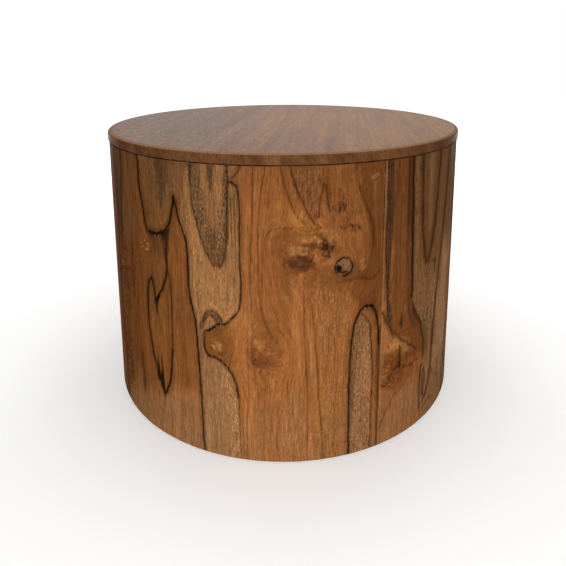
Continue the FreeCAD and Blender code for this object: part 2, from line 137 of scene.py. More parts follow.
# Dark lines in the wood: half width, softness, darkness from 0 to 1, and points as bearing and height
Line = namedtuple("Line", "half_width soft strength points")
LINES = (
    # The long finger at the left and its leg down to the floor
    Line(1.4, 1.2, 1.0, ((-43.9, 440), (-43.4, 390), (-42.2, 358), (-41.2, 334), (-39.8, 324), (-37, 323),
        (-34.2, 327), (-32.6, 336), (-31.1, 352), (-29.9, 384))),
    Line(1.3, 1.2, 1.0, ((-29.9, 384), (-28.2, 350), (-26.3, 322), (-26, 290), (-26, 260), (-25.4, 235),
        (-24.4, 213), (-23.9, 175), (-23.4, 130))),
    Line(1.0, 1.4, 0.9, ((-23.4, 130), (-23, 80), (-22.9, 40), (-22.6, -5))),
    Line(0.7, 1.6, 0.6, ((-33.2, 300), (-33.1, 286), (-33, 276), (-33, 270))),
    # The lens with its two peaks and its tail
    Line(1.2, 1.2, 1.0, ((-38.4, 217), (-38.8, 234), (-39.4, 246), (-40.1, 251), (-41.2, 243), (-41.9, 225),
        (-42, 190), (-41.7, 166), (-41, 142), (-40.4, 128), (-39.1, 106), (-37.4, 85), (-35.8, 73))),
    Line(1.3, 1.3, 1.0, ((-33, 272), (-33.9, 260), (-35.2, 242), (-36.6, 232), (-38.4, 217))),
    Line(0.8, 1.6, 0.65, ((-33, 272), (-32.3, 255), (-32.2, 200), (-32.4, 150))),
    Line(1.2, 1.4, 1.0, ((-32.4, 150), (-32.8, 137), (-33.3, 112), (-34, 95), (-35.8, 73))),
    Line(1.5, 2.4, 0.6, ((-36.2, 76), (-36.4, 62), (-36.6, 50))),
    # The line that bounds the pale wood, out to the small peninsula and down
    Line(0.8, 1.0, 0.9, ((-10.2, 440), (-11.4, 424), (-13.9, 412))),
    Line(0.8, 1.0, 0.9, ((-13.9, 412), (-12.2, 409), (-11.3, 400), (-11, 365), (-11.2, 315), (-11, 265),
        (-11.5, 236), (-12.9, 224), (-15.2, 210))),
    Line(1.0, 1.0, 0.95, ((-15.2, 210), (-17.6, 207), (-19.9, 198), (-21.5, 191), (-21.7, 175),
        (-20.9, 160), (-18.1, 155), (-16.1, 150), (-13.9, 135), (-12.8, 118), (-12.2, 100))),
    Line(0.7, 1.0, 0.85, ((-12.2, 100), (-12, 50), (-11.8, -5))),
    Line(0.7, 0.9, 0.7, ((-20.9, 160), (-20.8, 152), (-20.8, 142))),
    Line(0.8, 1.0, 0.7, ((-22.6, 196), (-21.8, 212), (-20.6, 224), (-18.6, 226), (-16.9, 218),
        (-16.4, 211))),
    Line(0.5, 0.9, 0.5, ((-22, 198), (-21.3, 211), (-20.2, 218), (-18.6, 217), (-17.8, 209))),
    Line(0.5, 0.9, 0.4, ((-23.2, 250), (-22.8, 215), (-23, 180), (-22.4, 140))),
    # The speckled tongue
    Line(0.8, 1.6, 0.55, ((-24.3, 440), (-24.1, 382), (-21.9, 335), (-19.1, 299), (-17.2, 293),
        (-15.7, 298), (-14.6, 328), (-14.1, 365), (-14, 440))),
    Line(0.6, 0.9, 0.6, ((-13.2, 390), (-13.1, 330), (-13.6, 302))),
    Line(0.5, 0.9, 0.4, ((-12.3, 395), (-12.2, 330), (-12.6, 270), (-13.2, 246))),
    # Faint lines of the warm field
    Line(0.5, 1.0, 0.45, ((-7.4, 440), (-7.9, 350), (-8.6, 280), (-8.3, 230))),
    Line(0.5, 1.0, 0.45, ((-4.2, 440), (-6, 380), (-6.4, 320), (-6.1, 250), (-4.6, 212), (-3, 196))),
    Line(0.5, 1.0, 0.3, ((9, 349), (3.2, 351), (-2, 349), (-4.1, 342), (-4.9, 330), (-5.4, 290),
        (-5.6, 250))),
    Line(0.6, 1.0, 0.4, ((-5.2, 262), (-4, 240), (-2.2, 222))),
    Line(0.5, 1.2, 0.4, ((5, 262), (5.4, 180), (6.2, 100), (6, -5))),
    Line(0.7, 1.6, 0.4, ((7.2, 240), (7.9, 200), (8.6, 160), (9, 110), (10, 52), (10.4, -5))),
    Line(0.4, 0.9, 0.4, ((-9.6, 200), (-9.4, 120), (-10, 60), (-9.8, -5))),
    Line(0.4, 0.9, 0.35, ((0.8, 130), (1.2, 60), (0.9, -5))),
    # Round the swirls and the bark-ringed knot
    Line(0.7, 1.2, 0.6, ((1.3, 440), (2.9, 410), (4.8, 385), (7.1, 361), (9.3, 350))),
    Line(0.6, 1.2, 0.45, ((-0.9, 440), (0.6, 405), (3, 370), (6.2, 350))),
    Line(0.7, 1.4, 0.5, ((8.8, 364), (9.2, 388), (10.3, 409), (10.9, 392), (11.6, 372))),
    Line(0.8, 1.4, 0.5, ((18.6, 445), (18.6, 424), (18.8, 404))),
    Line(0.7, 2.6, 0.4, ((18.8, 420), (19.8, 398), (21.9, 370), (23.4, 351), (23.8, 320), (22.8, 288))),
    Line(0.6, 1.0, 0.6, ((10.6, 325), (12.2, 320), (13.6, 313))),
    Line(0.6, 1.0, 0.55, ((10.6, 325), (12.6, 328), (14, 327))),
    Line(0.6, 1.0, 0.5, ((10.4, 327), (11.6, 335), (12.4, 341))),
    Line(0.6, 1.0, 0.5, ((10.2, 327), (9.4, 336), (7.8, 342))),
    Line(0.7, 1.2, 0.55, ((10.4, 323), (9.2, 318), (8.6, 308))),
    Line(0.7, 1.2, 0.55, ((10.8, 323), (11.4, 314), (11.8, 308))),
    Line(0.6, 3.0, 0.3, ((12, 272), (16.4, 271), (20.2, 274), (23.4, 268), (25.6, 276), (26.6, 292))),
    Line(0.6, 1.2, 0.45, ((21.6, 296), (20.9, 286), (20.2, 283))),
    # The tall arch beside the seam
    Line(1.1, 1.2, 0.95, ((17.7, -5), (17.6, 75), (17.6, 125), (18, 175), (18.7, 203), (20.2, 222),
        (22.2, 231))),
    Line(1.3, 1.6, 1.0, ((22.2, 231), (24.2, 227), (25.5, 212), (26.2, 190), (26.4, 165))),
    Line(0.8, 3.0, 0.55, ((26.4, 190), (26.5, 120), (26.6, 60), (26.6, -35))),
    Line(0.7, 1.0, 0.75, ((19.1, 206), (20.5, 220), (22.2, 212), (23.5, 201), (23.8, 182), (24.3, 157),
        (24.6, 120), (24.5, 60), (24.3, -5))),
    # The seam, and the fine grey lines to its right
    Line(0.4, 0.5, 0.85, ((27, 445), (27, -5))),
    Line(0.8, 1.4, 0.6, ((28.1, 440), (28.3, 365), (28, 310), (28.7, 250), (29.9, 195), (31.6, 168))),
    Line(0.6, 1.0, 0.55, ((28.8, 440), (29, 360), (28.8, 300), (29.3, 245), (30.4, 196))),
    Line(0.6, 1.0, 0.5, ((29.7, 440), (29.8, 350), (29.5, 290), (30, 240))),
    # Bold lines of the right leaf
    Line(1.4, 2.4, 0.85, ((36.9, 440), (37.4, 378), (37.7, 328), (38.2, 265), (38.5, 222))),
    Line(1.3, 3.4, 0.65, ((38.5, 222), (40, 197), (42.7, 174), (44.6, 146), (45.1, 120), (44.4, 100))),
    Line(1.0, 2.4, 0.6, ((44.4, 100), (43.9, 80), (43.7, 60), (44.3, 24))),
    Line(0.8, 2.0, 0.5, ((35.3, 440), (35.8, 330), (36.6, 250))),
    Line(1.6, 3.5, 0.6, ((41, 470), (41.4, 378), (41.9, 348), (42.7, 312), (45.1, 266), (48.6, 314),
        (49.7, 363), (51.4, 470))),
    Line(1.6, 4.0, 0.6, ((58.9, 470), (57, 377), (55.4, 320), (54, 274), (52.4, 220), (51.3, 177),
        (50.5, 134), (50.2, 105), (49.6, 72), (47.6, 43), (44.3, 24))),
    Line(0.8, 1.4, 0.7, ((45.9, 92), (45.1, 76), (45.2, 56), (45.8, 44), (46.5, 56), (46.7, 74),
        (45.9, 92))),
    Line(1.2, 2.4, 0.5, ((49.8, 265), (49.4, 235))),
    Line(2.2, 3.0, 0.75, ((34.5, 172), (34.5, 188), (34.6, 208))),
    Line(1.4, 1.8, 0.8, ((34.2, 118), (34.2, 140), (34.3, 166))),
    Line(0.8, 1.6, 0.6, ((27.5, 214), (29.2, 194), (31.4, 177), (33.6, 166), (37, 152), (41.2, 134))),
    Line(0.6, 1.4, 0.5, ((34.2, 122), (31.6, 112), (29.6, 98), (28, 96))),
    Line(0.6, 1.4, 0.5, ((34.2, 122), (36.6, 114), (39.4, 112), (42, 116))),
    Line(0.6, 1.4, 0.45, ((33.2, 78), (30.6, 60), (28.8, 44), (27.7, 30))),
    Line(0.8, 2.0, 0.45, ((50.8, 78), (53.6, 58), (58.3, 51))),
    Line(0.8, 2.5, 0.35, ((45.6, 14), (48.6, 27), (52.6, 24), (54.4, 12))),
    # The far side of the right leaf
    Line(1.3, 2.0, 0.7, ((66, 440), (65.2, 360), (66.5, 290), (69, 240), (72.5, 226), (75.5, 246),
        (77.2, 300), (77.6, 370), (77, 440))),
    Line(1.2, 1.6, 0.75, ((62, -5), (62.6, 60), (64.4, 120), (67.6, 152), (71, 140), (73, 100), (73.6, 50),
        (73.4, -5))),
    Line(1.4, 1.5, 0.95, ((84.5, 440), (84, 360), (85.4, 280), (87.8, 200), (88.6, 120), (88, 50),
        (88.4, -5))),
    Line(1.0, 1.4, 0.7, ((97, 440), (96.2, 340), (94.4, 260), (94.8, 180), (97.2, 90), (97.6, -5))),
    Line(1.2, 1.4, 0.8, ((107, -5), (106.6, 80), (105.8, 160), (103.8, 214), (101.6, 230), (100.2, 190),
        (100.8, 90), (101, -5))),
    Line(0.8, 1.6, 0.5, ((111, 440), (110.2, 330), (111.6, 220), (110.6, 100), (111.4, -5))),
    # Streaks of the dark wood at the far left
    Line(1.4, 4.0, 0.5, ((-54.2, 470), (-54.3, 405), (-56, 350), (-56.3, 320), (-57, 280))),
    Line(1.4, 3.5, 0.5, ((-46.2, 132), (-46.8, 105), (-46.2, 72), (-46.9, 40))),
    Line(1.0, 3.0, 0.45, ((-61.4, 470), (-60, 330), (-61.5, 220), (-60.5, 90), (-61.4, -35))),
    Line(1.2, 2.5, 0.5, ((-57.2, 92), (-55.6, 94), (-54.7, 80), (-55, 55), (-55.8, 36))),
    Line(0.9, 3.0, 0.4, ((-59, 410), (-59.6, 370), (-58.4, 335), (-59.8, 300))),
    Line(0.9, 2.5, 0.4, ((-49.6, 330), (-49.2, 290), (-50.4, 250), (-49.4, 205))),
)

# How far lines reach, how they thin out, and how they pull the growth bands towards them
LINE_REACH = 26.0
FLECK_POINTS = 2
FLECK_REACH = 6.0
SHORT_STROKE_POINTS = 3
STROKE_END_SHARE = 0.1
SMOKY_SOFT = 2.5
SMOKY_END = 26.0
PULL = 0.9
PULL_REACH = 11.0
LEAST_PULL_SHARE = 0.2

# Patches of one tone: strength, softness of the edge, pores from 0 to 1, and a closed outline
Wash = namedtuple("Wash", "tone strength feather pores outline")
WASHES = (
    # Paler, greyer wood towards the floor
    Wash("ash", 0.42, 40, 0.4, ((-75, 70), (125, 70), (125, -60), (-75, -60))),
    # The dark field at the left
    Wash("brown", 0.95, 12, 0.3, ((-75, 460), (-44, 460), (-43, 390), (-41, 330), (-36, 318), (-32, 300),
        (-31, 180), (-33, 95), (-38, 66), (-46, 50), (-75, 40))),
    Wash("umber", 0.6, 5, 0.3, ((-75, 460), (-54.4, 460), (-54.5, 405), (-56.2, 350), (-56.4, 320),
        (-57, 280), (-54, 230), (-53.5, 170), (-56, 120), (-57, 60), (-60, -20), (-75, -20))),
    Wash("deep", 0.6, 14, 0.2, ((-56, 290), (-50, 270), (-46, 200), (-47, 130), (-54, 110), (-60, 180))),
    Wash("russet", 0.5, 24, 0.3, ((-75, 300), (-52, 300), (-46, 210), (-46, 110), (-52, 80), (-75, 80))),
    Wash("umber", 0.45, 8, 0.3, ((-58, 100), (-54, 100), (-53.6, 60), (-55, 30), (-58, 50))),
    Wash("grey", 0.35, 8, 0.3, ((-54, 440), (-46, 440), (-46.5, 350), (-49, 300), (-55.5, 290),
        (-55.8, 350))),
    Wash("slate", 0.6, 7, 0.3, ((-40, 322), (-33, 322), (-32.8, 296), (-35, 288), (-37.4, 300))),
    # Between the finger and its leg, and the dry wood under them
    Wash("brown", 0.85, 12, 0.3, ((-32, 290), (-29.5, 372), (-27.5, 330), (-26.4, 280), (-25.6, 225),
        (-24.2, 150), (-23.4, 100), (-31, 95), (-32, 120))),
    Wash("ash", 0.55, 26, 0.4, ((-52, 54), (-40, 62), (-34, 74), (-24, 80), (-23, -20), (-52, -20))),
    # The finger
    Wash("drab", 0.85, 2.2, 0.5, ((-43.8, 460), (-43.4, 390), (-42.2, 358), (-41.2, 336), (-39.8, 326),
        (-37, 325), (-34.2, 329), (-32.6, 338), (-31.1, 354), (-30, 384), (-29.8, 460))),
    Wash("brown", 0.45, 7, 0.3, ((-41.5, 355), (-38, 362), (-33.4, 358), (-32.6, 340), (-35, 328),
        (-40, 327))),
    Wash("slate", 0.85, 6, 0.6, ((-36.4, 460), (-35.8, 400), (-34.8, 366), (-33.2, 370), (-32.4, 410),
        (-32.2, 460))),
    Wash("umber", 0.6, 4, 0.4, ((-34.6, 460), (-34.4, 400), (-33.8, 380), (-33, 400), (-32.8, 460))),
    Wash("grey", 0.55, 3, 0.5, ((-29.7, 460), (-29.6, 385), (-28, 350), (-25, 345), (-24.2, 390),
        (-24.3, 460))),
    # Black wedges where lines run out: under the finger, in the lens's notch and at its foot
    Wash("black", 0.85, 2, 0.2, ((-34.3, 330), (-34.3, 312), (-34.1, 297), (-33.3, 268), (-32.5, 297),
        (-32.2, 314), (-31.7, 336))),
    Wash("black", 0.9, 1.4, 0.2, ((-39.2, 236), (-38.5, 224), (-37.4, 226), (-36.2, 234), (-37.6, 214),
        (-38.3, 194), (-38.9, 214))),
    Wash("black", 0.95, 1.2, 0.2, ((-39.5, 98), (-38.9, 114), (-38.5, 132), (-38.1, 114), (-37.8, 92),
        (-38.6, 88))),
    Wash("black", 0.95, 1.2, 0.2, ((-37.9, 84), (-37.5, 108), (-37.1, 137), (-36.6, 108), (-36, 78),
        (-36.4, 66))),
    Wash("umber", 0.7, 5, 0.2, ((-40.4, 248), (-39.4, 268), (-38.4, 250), (-38.6, 236), (-39.6, 250))),
    # The pale wood
    Wash("pale", 0.95, 2, 0.5, ((-28, 350), (-26.2, 322), (-25.9, 290), (-25.9, 260), (-25.2, 232),
        (-23.8, 195), (-21.8, 190), (-19.9, 199), (-17.6, 208), (-15.2, 211), (-12.9, 225), (-11.4, 240),
        (-11.1, 315), (-11.1, 395), (-13.8, 411), (-12, 440), (-24, 440))),
    Wash("grey", 0.3, 10, 0.4, ((-30, 440), (-11, 440), (-11, 390), (-24, 370), (-30, 390))),
    Wash("slate", 0.6, 2, 0.9, ((-22.4, 198), (-21.6, 213), (-20.4, 224), (-18.4, 226), (-16.8, 218),
        (-16.6, 210), (-20, 199))),
    Wash("tan", 0.9, 1.6, 0.3, ((-21.8, 198), (-21.1, 210), (-20.1, 217), (-18.8, 216), (-18.1, 208),
        (-20, 199))),
    # The speckled tongue
    Wash("slate", 0.6, 1.4, 1.0, ((-24.3, 460), (-24.1, 382), (-21.9, 336), (-19.1, 300), (-17.2, 294),
        (-15.7, 299), (-14.6, 328), (-14.1, 365), (-14, 460))),
    Wash("tan", 0.8, 4, 0.4, ((-21.5, 460), (-20.6, 400), (-19.2, 356), (-18.2, 344), (-17, 356),
        (-15.8, 400), (-15.4, 460))),
    Wash("slate", 0.85, 2, 0.6, ((-20, 460), (-19.6, 424), (-18.3, 398), (-17.6, 424), (-17.2, 460))),
    # The pored wood below the peninsula, and the peninsula
    Wash("ash", 0.9, 1.6, 0.42, ((-23.9, 192), (-22, 184), (-21.2, 161), (-18.1, 154), (-16.1, 149),
        (-13.9, 134), (-12.8, 117), (-12.3, 100), (-12.1, 50), (-11.9, -20), (-22.6, -20), (-23, 80),
        (-23.5, 140))),
    Wash("pale", 0.4, 2.5, 1.0, ((-15.6, 146), (-13.9, 132), (-12.8, 116), (-12.4, 100), (-12.2, -20),
        (-14.6, -20), (-14.4, 60), (-15.2, 110))),
    Wash("brown", 0.85, 5, 0.15, ((-21.4, 188), (-17.6, 204), (-14.4, 206), (-13.2, 180), (-13.8, 150),
        (-17, 154), (-20.8, 163))),
    Wash("gold", 0.3, 9, 0.1, ((-13.5, 226), (-9.5, 232), (-6, 210), (-9, 190), (-13, 196))),
    # Above the swirls
    Wash("slate", 0.34, 3, 1.0, ((1.6, 460), (3.1, 411), (5, 388), (7.3, 366), (8.6, 366), (9, 390),
        (9.4, 410), (8.4, 460))),
    Wash("brown", 0.4, 9, 0.6, ((9, 460), (9.8, 400), (12, 366), (16, 338), (20, 345), (21, 380),
        (20, 460))),
    Wash("deep", 0.9, 6, 0.2, ((18.8, 460), (19.4, 404), (22.6, 358), (22.8, 300), (18.5, 276), (18, 244),
        (27.2, 232), (27.2, 460))),
    Wash("russet", 0.4, 16, 0.2, ((20, 330), (27.2, 350), (27.2, 236), (19, 244), (12, 262), (14, 276))),
    Wash("honey", 0.6, 8, 0.1, ((0.2, 382), (2.6, 374), (5.4, 362), (8.4, 352), (6.5, 348), (2.6, 352))),
    # The warm field
    Wash("deep", 0.45, 9, 0.15, ((-3, 340), (2, 345), (2, 260), (0, 190), (-4, 150), (-9, 160), (-5, 250))),
    Wash("brown", 0.3, 12, 0.3, ((-11, 460), (2, 460), (1, 400), (-2, 370), (-11, 390))),
    Wash("hazel", 0.6, 8, 0.62, ((7.6, 268), (14, 262), (18, 246), (17.2, 180), (16.8, -20), (10, -20),
        (8.6, 120))),
    Wash("gold", 0.35, 4, 0.2, ((2, 268), (4.4, 262), (5, 200), (4.2, 130), (2.6, 200))),
    Wash("gold", 0.35, 1.5, 0.1, ((7, 230), (7.6, 180), (8.6, 100), (9.6, 44), (8.8, 44), (7.6, 120),
        (6.8, 190))),
    # The arch
    Wash("ash", 0.8, 2, 0.75, ((18.4, 178), (19.1, 202), (20.5, 218), (22.1, 211), (23.3, 200), (23.7, 182),
        (24.2, 157), (24.5, 120), (24.4, -20), (17.8, -20), (17.7, 90))),
    Wash("slate", 0.35, 3, 0.75, ((18.4, 190), (20.5, 214), (22.6, 205), (22.6, 180), (20.5, 140),
        (18.8, 60), (17.9, 60))),
    Wash("brown", 0.6, 1.5, 0.2, ((24.7, 120), (24.1, 162), (23.6, 198), (22.4, 220), (25.4, 206),
        (26.2, 150), (26.3, -20), (24.8, -20))),
    Wash("umber", 0.55, 6, 0.2, ((20.6, 232), (22.4, 240), (25.4, 236), (27, 214), (27, 170), (26.4, 190),
        (25.6, 214), (23.6, 230))),
    # Right of the seam
    Wash("tan", 0.8, 0.8, 0.1, ((27.1, 460), (27.7, 460), (27.6, 200), (27.9, 100), (27.1, 60))),
    Wash("slate", 0.8, 3, 0.8, ((27.8, 460), (30, 460), (30, 330), (29.8, 250), (31.6, 186), (29.4, 190),
        (28, 250))),
    Wash("deep", 0.85, 5, 0.2, ((30.4, 460), (36.6, 460), (37.6, 330), (38, 230), (42, 176), (44, 150),
        (44, 124), (28, 124), (30.2, 190))),
    Wash("umber", 0.6, 4, 0.2, ((34.8, 460), (37, 460), (38, 330), (38.6, 230), (42, 180), (40, 170),
        (37, 200), (36.4, 260), (36, 340))),
    Wash("grey", 0.8, 3, 0.6, ((37.2, 460), (41, 460), (41.6, 365), (43, 300), (45, 262), (49, 300),
        (52, 250), (51, 160), (47, 100), (45.4, 122), (44.6, 148), (39, 215), (38.2, 320))),
    Wash("ash", 0.5, 8, 0.7, ((42, 270), (45, 256), (50, 262), (51.6, 200), (50, 165), (45, 160),
        (40.5, 210))),
    Wash("slate", 0.6, 3, 0.4, ((41.1, 460), (41.7, 365), (42.7, 314), (45, 270), (48.4, 314), (49.5, 365),
        (50.9, 460))),
    Wash("ash", 0.6, 5, 0.4, ((44.6, 440), (47, 440), (47.2, 350), (46, 316), (45, 350))),
    Wash("grey", 0.75, 5, 0.4, ((51, 460), (58, 460), (55, 330), (53, 270), (50, 300))),
    Wash("grey", 0.7, 5, 0.5, ((59, 460), (57, 380), (55, 300), (66, 290), (67, 460))),
    # Painted sheen: a soft pale greyish patch low on the right leaf stands in for light reflected there
    Wash("mist", 0.85, 34, 0.6, ((55.5, 270), (54, 224), (52.4, 168), (51.6, 100), (52, 60), (66, 70),
        (64, 200), (66, 260))),
    Wash("ash", 0.7, 7, 0.4, ((51, 80), (48, 40), (46, 20), (46, -20), (66, -20), (64, 80))),
    Wash("rose", 0.65, 4, 0.15, ((28.6, 188), (29.6, 184), (31.6, 174), (33.8, 165), (33.9, 148),
        (29.6, 144), (28.4, 158))),
    Wash("rose", 0.45, 5, 0.15, ((34.8, 166), (38, 152), (40.6, 136), (37, 138), (34.8, 148))),
    Wash("rust", 0.55, 12, 0.2, ((27.2, 132), (31, 138), (34, 126), (41.5, 128), (42, 104), (36, 84),
        (27.2, 82))),
    Wash("umber", 0.4, 7, 0.2, ((28, 120), (33, 126), (36, 112), (33, 96), (28.6, 98))),
    Wash("deep", 0.4, 16, 0.15, ((27.2, 128), (34, 124), (41.5, 128), (42, 100), (36, 84), (28, 90))),
    Wash("ash", 0.35, 9, 0.3, ((28, 60), (36, 80), (42, 74), (43, -20), (27, -20))),
    Wash("rose", 0.35, 8, 0.2, ((27.2, 90), (31, 72), (29, 40), (27.2, 30))),
    # Beyond the right of the photograph
    Wash("brown", 0.6, 12, 0.4, ((66, 460), (64, 200), (66, -20), (84, -20), (86, 200), (83, 460))),
    Wash("grey", 0.65, 2.5, 0.9, ((66, 460), (65.2, 360), (66.5, 292), (69, 242), (72.5, 228), (75.4, 248),
        (77, 302), (77.4, 370), (77, 460))),
    Wash("ash", 0.7, 2.5, 0.9, ((62.1, -20), (62.7, 60), (64.5, 118), (67.6, 150), (70.9, 138), (72.9, 100),
        (73.4, 50), (73.3, -20))),
    Wash("pale", 0.6, 6, 0.5, ((84.7, 460), (84.2, 360), (85.6, 280), (88, 200), (88.8, 120), (88.2, -20),
        (97, -20), (97, 90), (94.8, 180), (94.2, 260), (96, 340), (96.8, 460))),
    Wash("grey", 0.6, 2.5, 0.9, ((106.8, -20), (106.4, 80), (105.6, 160), (103.7, 212), (101.7, 227),
        (100.4, 190), (101, 90), (101.2, -20))),
    Wash("umber", 0.5, 12, 0.3, ((110, 460), (109, 230), (110, -20), (120, -20), (120, 460))),
)
FEATHER_REACH = 3

# Round patches: strength, softness, middle as bearing and height, half width and half height
Spot = namedtuple("Spot", "tone strength soft bearing height half_width half_height")
SPOTS = (
    Spot("deep", 0.7, 1.1, 5.2, 312, 26, 26),
    Spot("umber", 1.0, 0.7, 4.3, 300, 19, 12),
    Spot("umber", 0.7, 0.6, 6.6, 324, 11, 6),
    Spot("tan", 0.75, 0.7, 3.8, 319, 14, 6),
    Spot("gold", 0.5, 0.8, 6.2, 335, 13, 6),
    Spot("gold", 0.6, 0.6, 8.4, 310, 4, 12),
    Spot("umber", 0.75, 0.7, 10.6, 325, 6, 8),
    Spot("deep", 0.7, 0.9, 12.4, 316, 13, 9),
    Spot("gold", 0.45, 1.0, 12.4, 302, 4, 9),
    Spot("gold", 0.4, 1.2, 12.6, 336, 9, 8),
    Spot("deep", 0.7, 1.3, 13.6, 278, 36, 15),
    Spot("gold", 0.6, 0.9, 20.9, 292, 4, 9),
    Spot("deep", 0.5, 1.0, 18.9, 290, 5, 16),
    Spot("rust", 0.5, 0.9, -5.4, 166, 18, 20),
    Spot("umber", 0.4, 0.8, -5.6, 154, 14, 6),
    Spot("gold", 0.45, 0.8, -6.6, 184, 8, 8),
    Spot("umber", 0.45, 1.0, -41.4, 297, 12, 9),
    Spot("umber", 0.5, 1.0, -46.3, 271, 6, 6),
    Spot("gold", 0.3, 1.2, 30.9, 157, 13, 10),
    Spot("gold", 0.3, 1.2, 36.2, 147, 9, 12),
    Spot("umber", 0.75, 0.8, 34.2, 121, 3.6, 6),
    Spot("slate", 0.55, 1.0, 45.9, 70, 3.4, 20),
    Spot("pale", 0.7, 1.0, 47.3, 66, 2.2, 24),
    Spot("pale", 0.6, 1.0, 45.6, 34, 3.0, 8),
    Spot("umber", 0.5, 1.2, -57.6, 232, 22, 26),
    Spot("rose", 0.6, 1.0, 91.5, 150, 12, 12),
    Spot("deep", 0.6, 1.2, 80.5, 330, 14, 22),
    Spot("tan", 0.8, 0.3, 15.6, 292, 14, 13.5),
    Spot("grey", 0.95, 0.3, 15.6, 292, 12, 11.5),
    Spot("ash", 0.7, 0.8, 16.5, 295, 6, 6),
    Spot("umber", 0.8, 0.8, 15.0, 286, 6, 3),
    Spot("black", 0.9, 0.6, 15.6, 284.6, 6, 1.8),
    Spot("black", 1.0, 0.4, 14.2, 290.0, 4.4, 5.6),
)
CRACK = SPOTS[-1]
CRACK_DEPTH = 0.45 * MM
CRACK_RIM = 1.2
CRACK_SLOPE = 0.7

# Clusters of small pale glints: tone, middle, spread along and up the wall, number and size
Glints = namedtuple("Glints", "tone bearing height spread_along spread_up count size")
GLINT_GROUPS = (
    Glints("peach", -17.6, 175, 8, 6, 12, 2.2),
    Glints("peach", -41.4, 299, 8, 6, 10, 2.0),
    Glints("gold", -46.2, 271, 4, 4, 6, 1.2),
    Glints("rose", 24.0, 414, 5, 4, 10, 1.7),
    Glints("gold", 10.8, 331, 8, 8, 6, 2.0),
    Glints("rose", -4.0, 172, 8, 10, 8, 1.5),
    Glints("gold", 32.4, 152, 15, 10, 14, 1.9),
    Glints("rose", 29.0, 112, 6, 16, 10, 1.6),
    Glints("ash", -57.8, 236, 15, 18, 26, 1.4),
    Glints("ash", -57.0, 70, 8, 20, 14, 1.4),
    Glints("ash", -58.0, 180, 12, 20, 14, 1.4),
)
GLINT_STRENGTH = 0.7
GLINT_SOFT = 1.0
GLINT_SIZE_SHARES = (0.5, 1.3)
GLINT_SEED = 19

# Clusters of short dark flecks: middle, spread along and up the wall, number, length and lean in degrees
Flecks = namedtuple("Flecks", "bearing height spread_along spread_up count length lean")
FLECK_GROUPS = (
    Flecks(15.2, 381, 13, 13, 16, 7, 35),
    Flecks(16.8, 353, 10, 12, 12, 6, -30),
    Flecks(10.6, 326, 9, 14, 10, 8, -35),
    Flecks(45.8, 176, 11, 12, 14, 7, 25),
    Flecks(-58.4, 240, 16, 22, 12, 8, 40),
)
FLECK_HALF_WIDTH = 0.6
FLECK_SOFT = 0.6
FLECK_STRENGTH = 0.85
FLECK_HALF_SHARES = (0.3, 0.7)
FLECK_LEAN_SPREAD = 18
FLECK_SEED = 7
CLUSTER_SCATTER = 0.6

# Knots that the fibres flow round: radius, stretch along the grain, strength of their rings, and their curl
Knot = namedtuple("Knot", "bearing height radius stretch rings curl")
KNOTS = (
    Knot(15.6, 292, 13.0, 1.0, 0.9, 0.0),
    Knot(5.0, 312, 20.0, 1.2, 0.25, 1.0),
    Knot(10.6, 325, 8.0, 1.3, 0.2, 1.0),
    Knot(20.6, 292, 6.0, 1.6, 0.6, 0.3),
    Knot(-17.8, 175, 11.0, 1.1, 0.25, 0.5),
    Knot(-4.8, 170, 19.0, 1.4, 0.25, 0.5),
    Knot(-41.4, 297, 8.0, 1.0, 0.25, 0.6),
    Knot(24.0, 414, 6.0, 1.0, 0.25, 0.5),
    Knot(33.8, 144, 20.0, 1.4, 0.3, 0.7),
    Knot(30.6, 108, 12.0, 1.0, 0.3, 0.6),
    Knot(-57.6, 228, 24.0, 1.4, 0.7, 1.4),
    Knot(-57.0, 70, 14.0, 2.0, 0.7, 1.2),
    Knot(91.5, 150, 12.0, 1.5, 0.7, 0.5),
    Knot(80.5, 330, 11.0, 1.5, 0.6, 0.5),
)
PARTING_REACH = 1.25
CURL_REACH = 1.9
CURL_DEPTH = 9.0
RING_CURL = 0.25

# The bark round one knot
RING_KNOT = KNOTS[0]
BARK_HALF_WIDTH = 0.7
BARK_SOFT = 0.9
BARK_STRENGTH = 0.95
BARK_STEP = 45


def linear(tone):
    """A display colour from 0 to 255 as linear light."""
    share = np.asarray(tone, float) / 255
    return np.where(share <= 0.04045, share / 12.92, ((share + 0.055) / 1.055) ** 2.4)


def along_wall(bearing):
    """The distance round the wall to a bearing, in millimetres."""
    return np.radians(bearing) * WALL_RADIUS


def bearing_at(s):
    """The bearing at a distance round the wall."""
    return np.degrees(s / WALL_RADIUS)


def smooth_step(value):
    """An eased rise from 0 to 1."""
    share = np.clip(value, 0, 1)
    return share * share * (3 - 2 * share)


def lattice_noise(across, up, seed):
    """Soft noise from -1 to 1 over two coordinates, one cell to a unit."""
    table = np.random.default_rng(seed).uniform(-1, 1, (NOISE_CELLS, NOISE_CELLS))
    column = np.floor(across).astype(int)
    row = np.floor(up).astype(int)
    u = smooth_step(across - column)
    v = smooth_step(up - row)
    left, right = column % NOISE_CELLS, (column + 1) % NOISE_CELLS
    low, high = row % NOISE_CELLS, (row + 1) % NOISE_CELLS
    below = table[left, low] * (1 - u) + table[right, low] * u
    above = table[left, high] * (1 - u) + table[right, high] * u
    return below * (1 - v) + above * v


def soft_noise(layers, s, h, seed_step=0):
    """The sum of a noise's layers, which differs from one seed step to another."""
    return sum(layer.strength * lattice_noise(s / layer.width, h / layer.height, layer.seed + seed_step)
               for layer in layers)


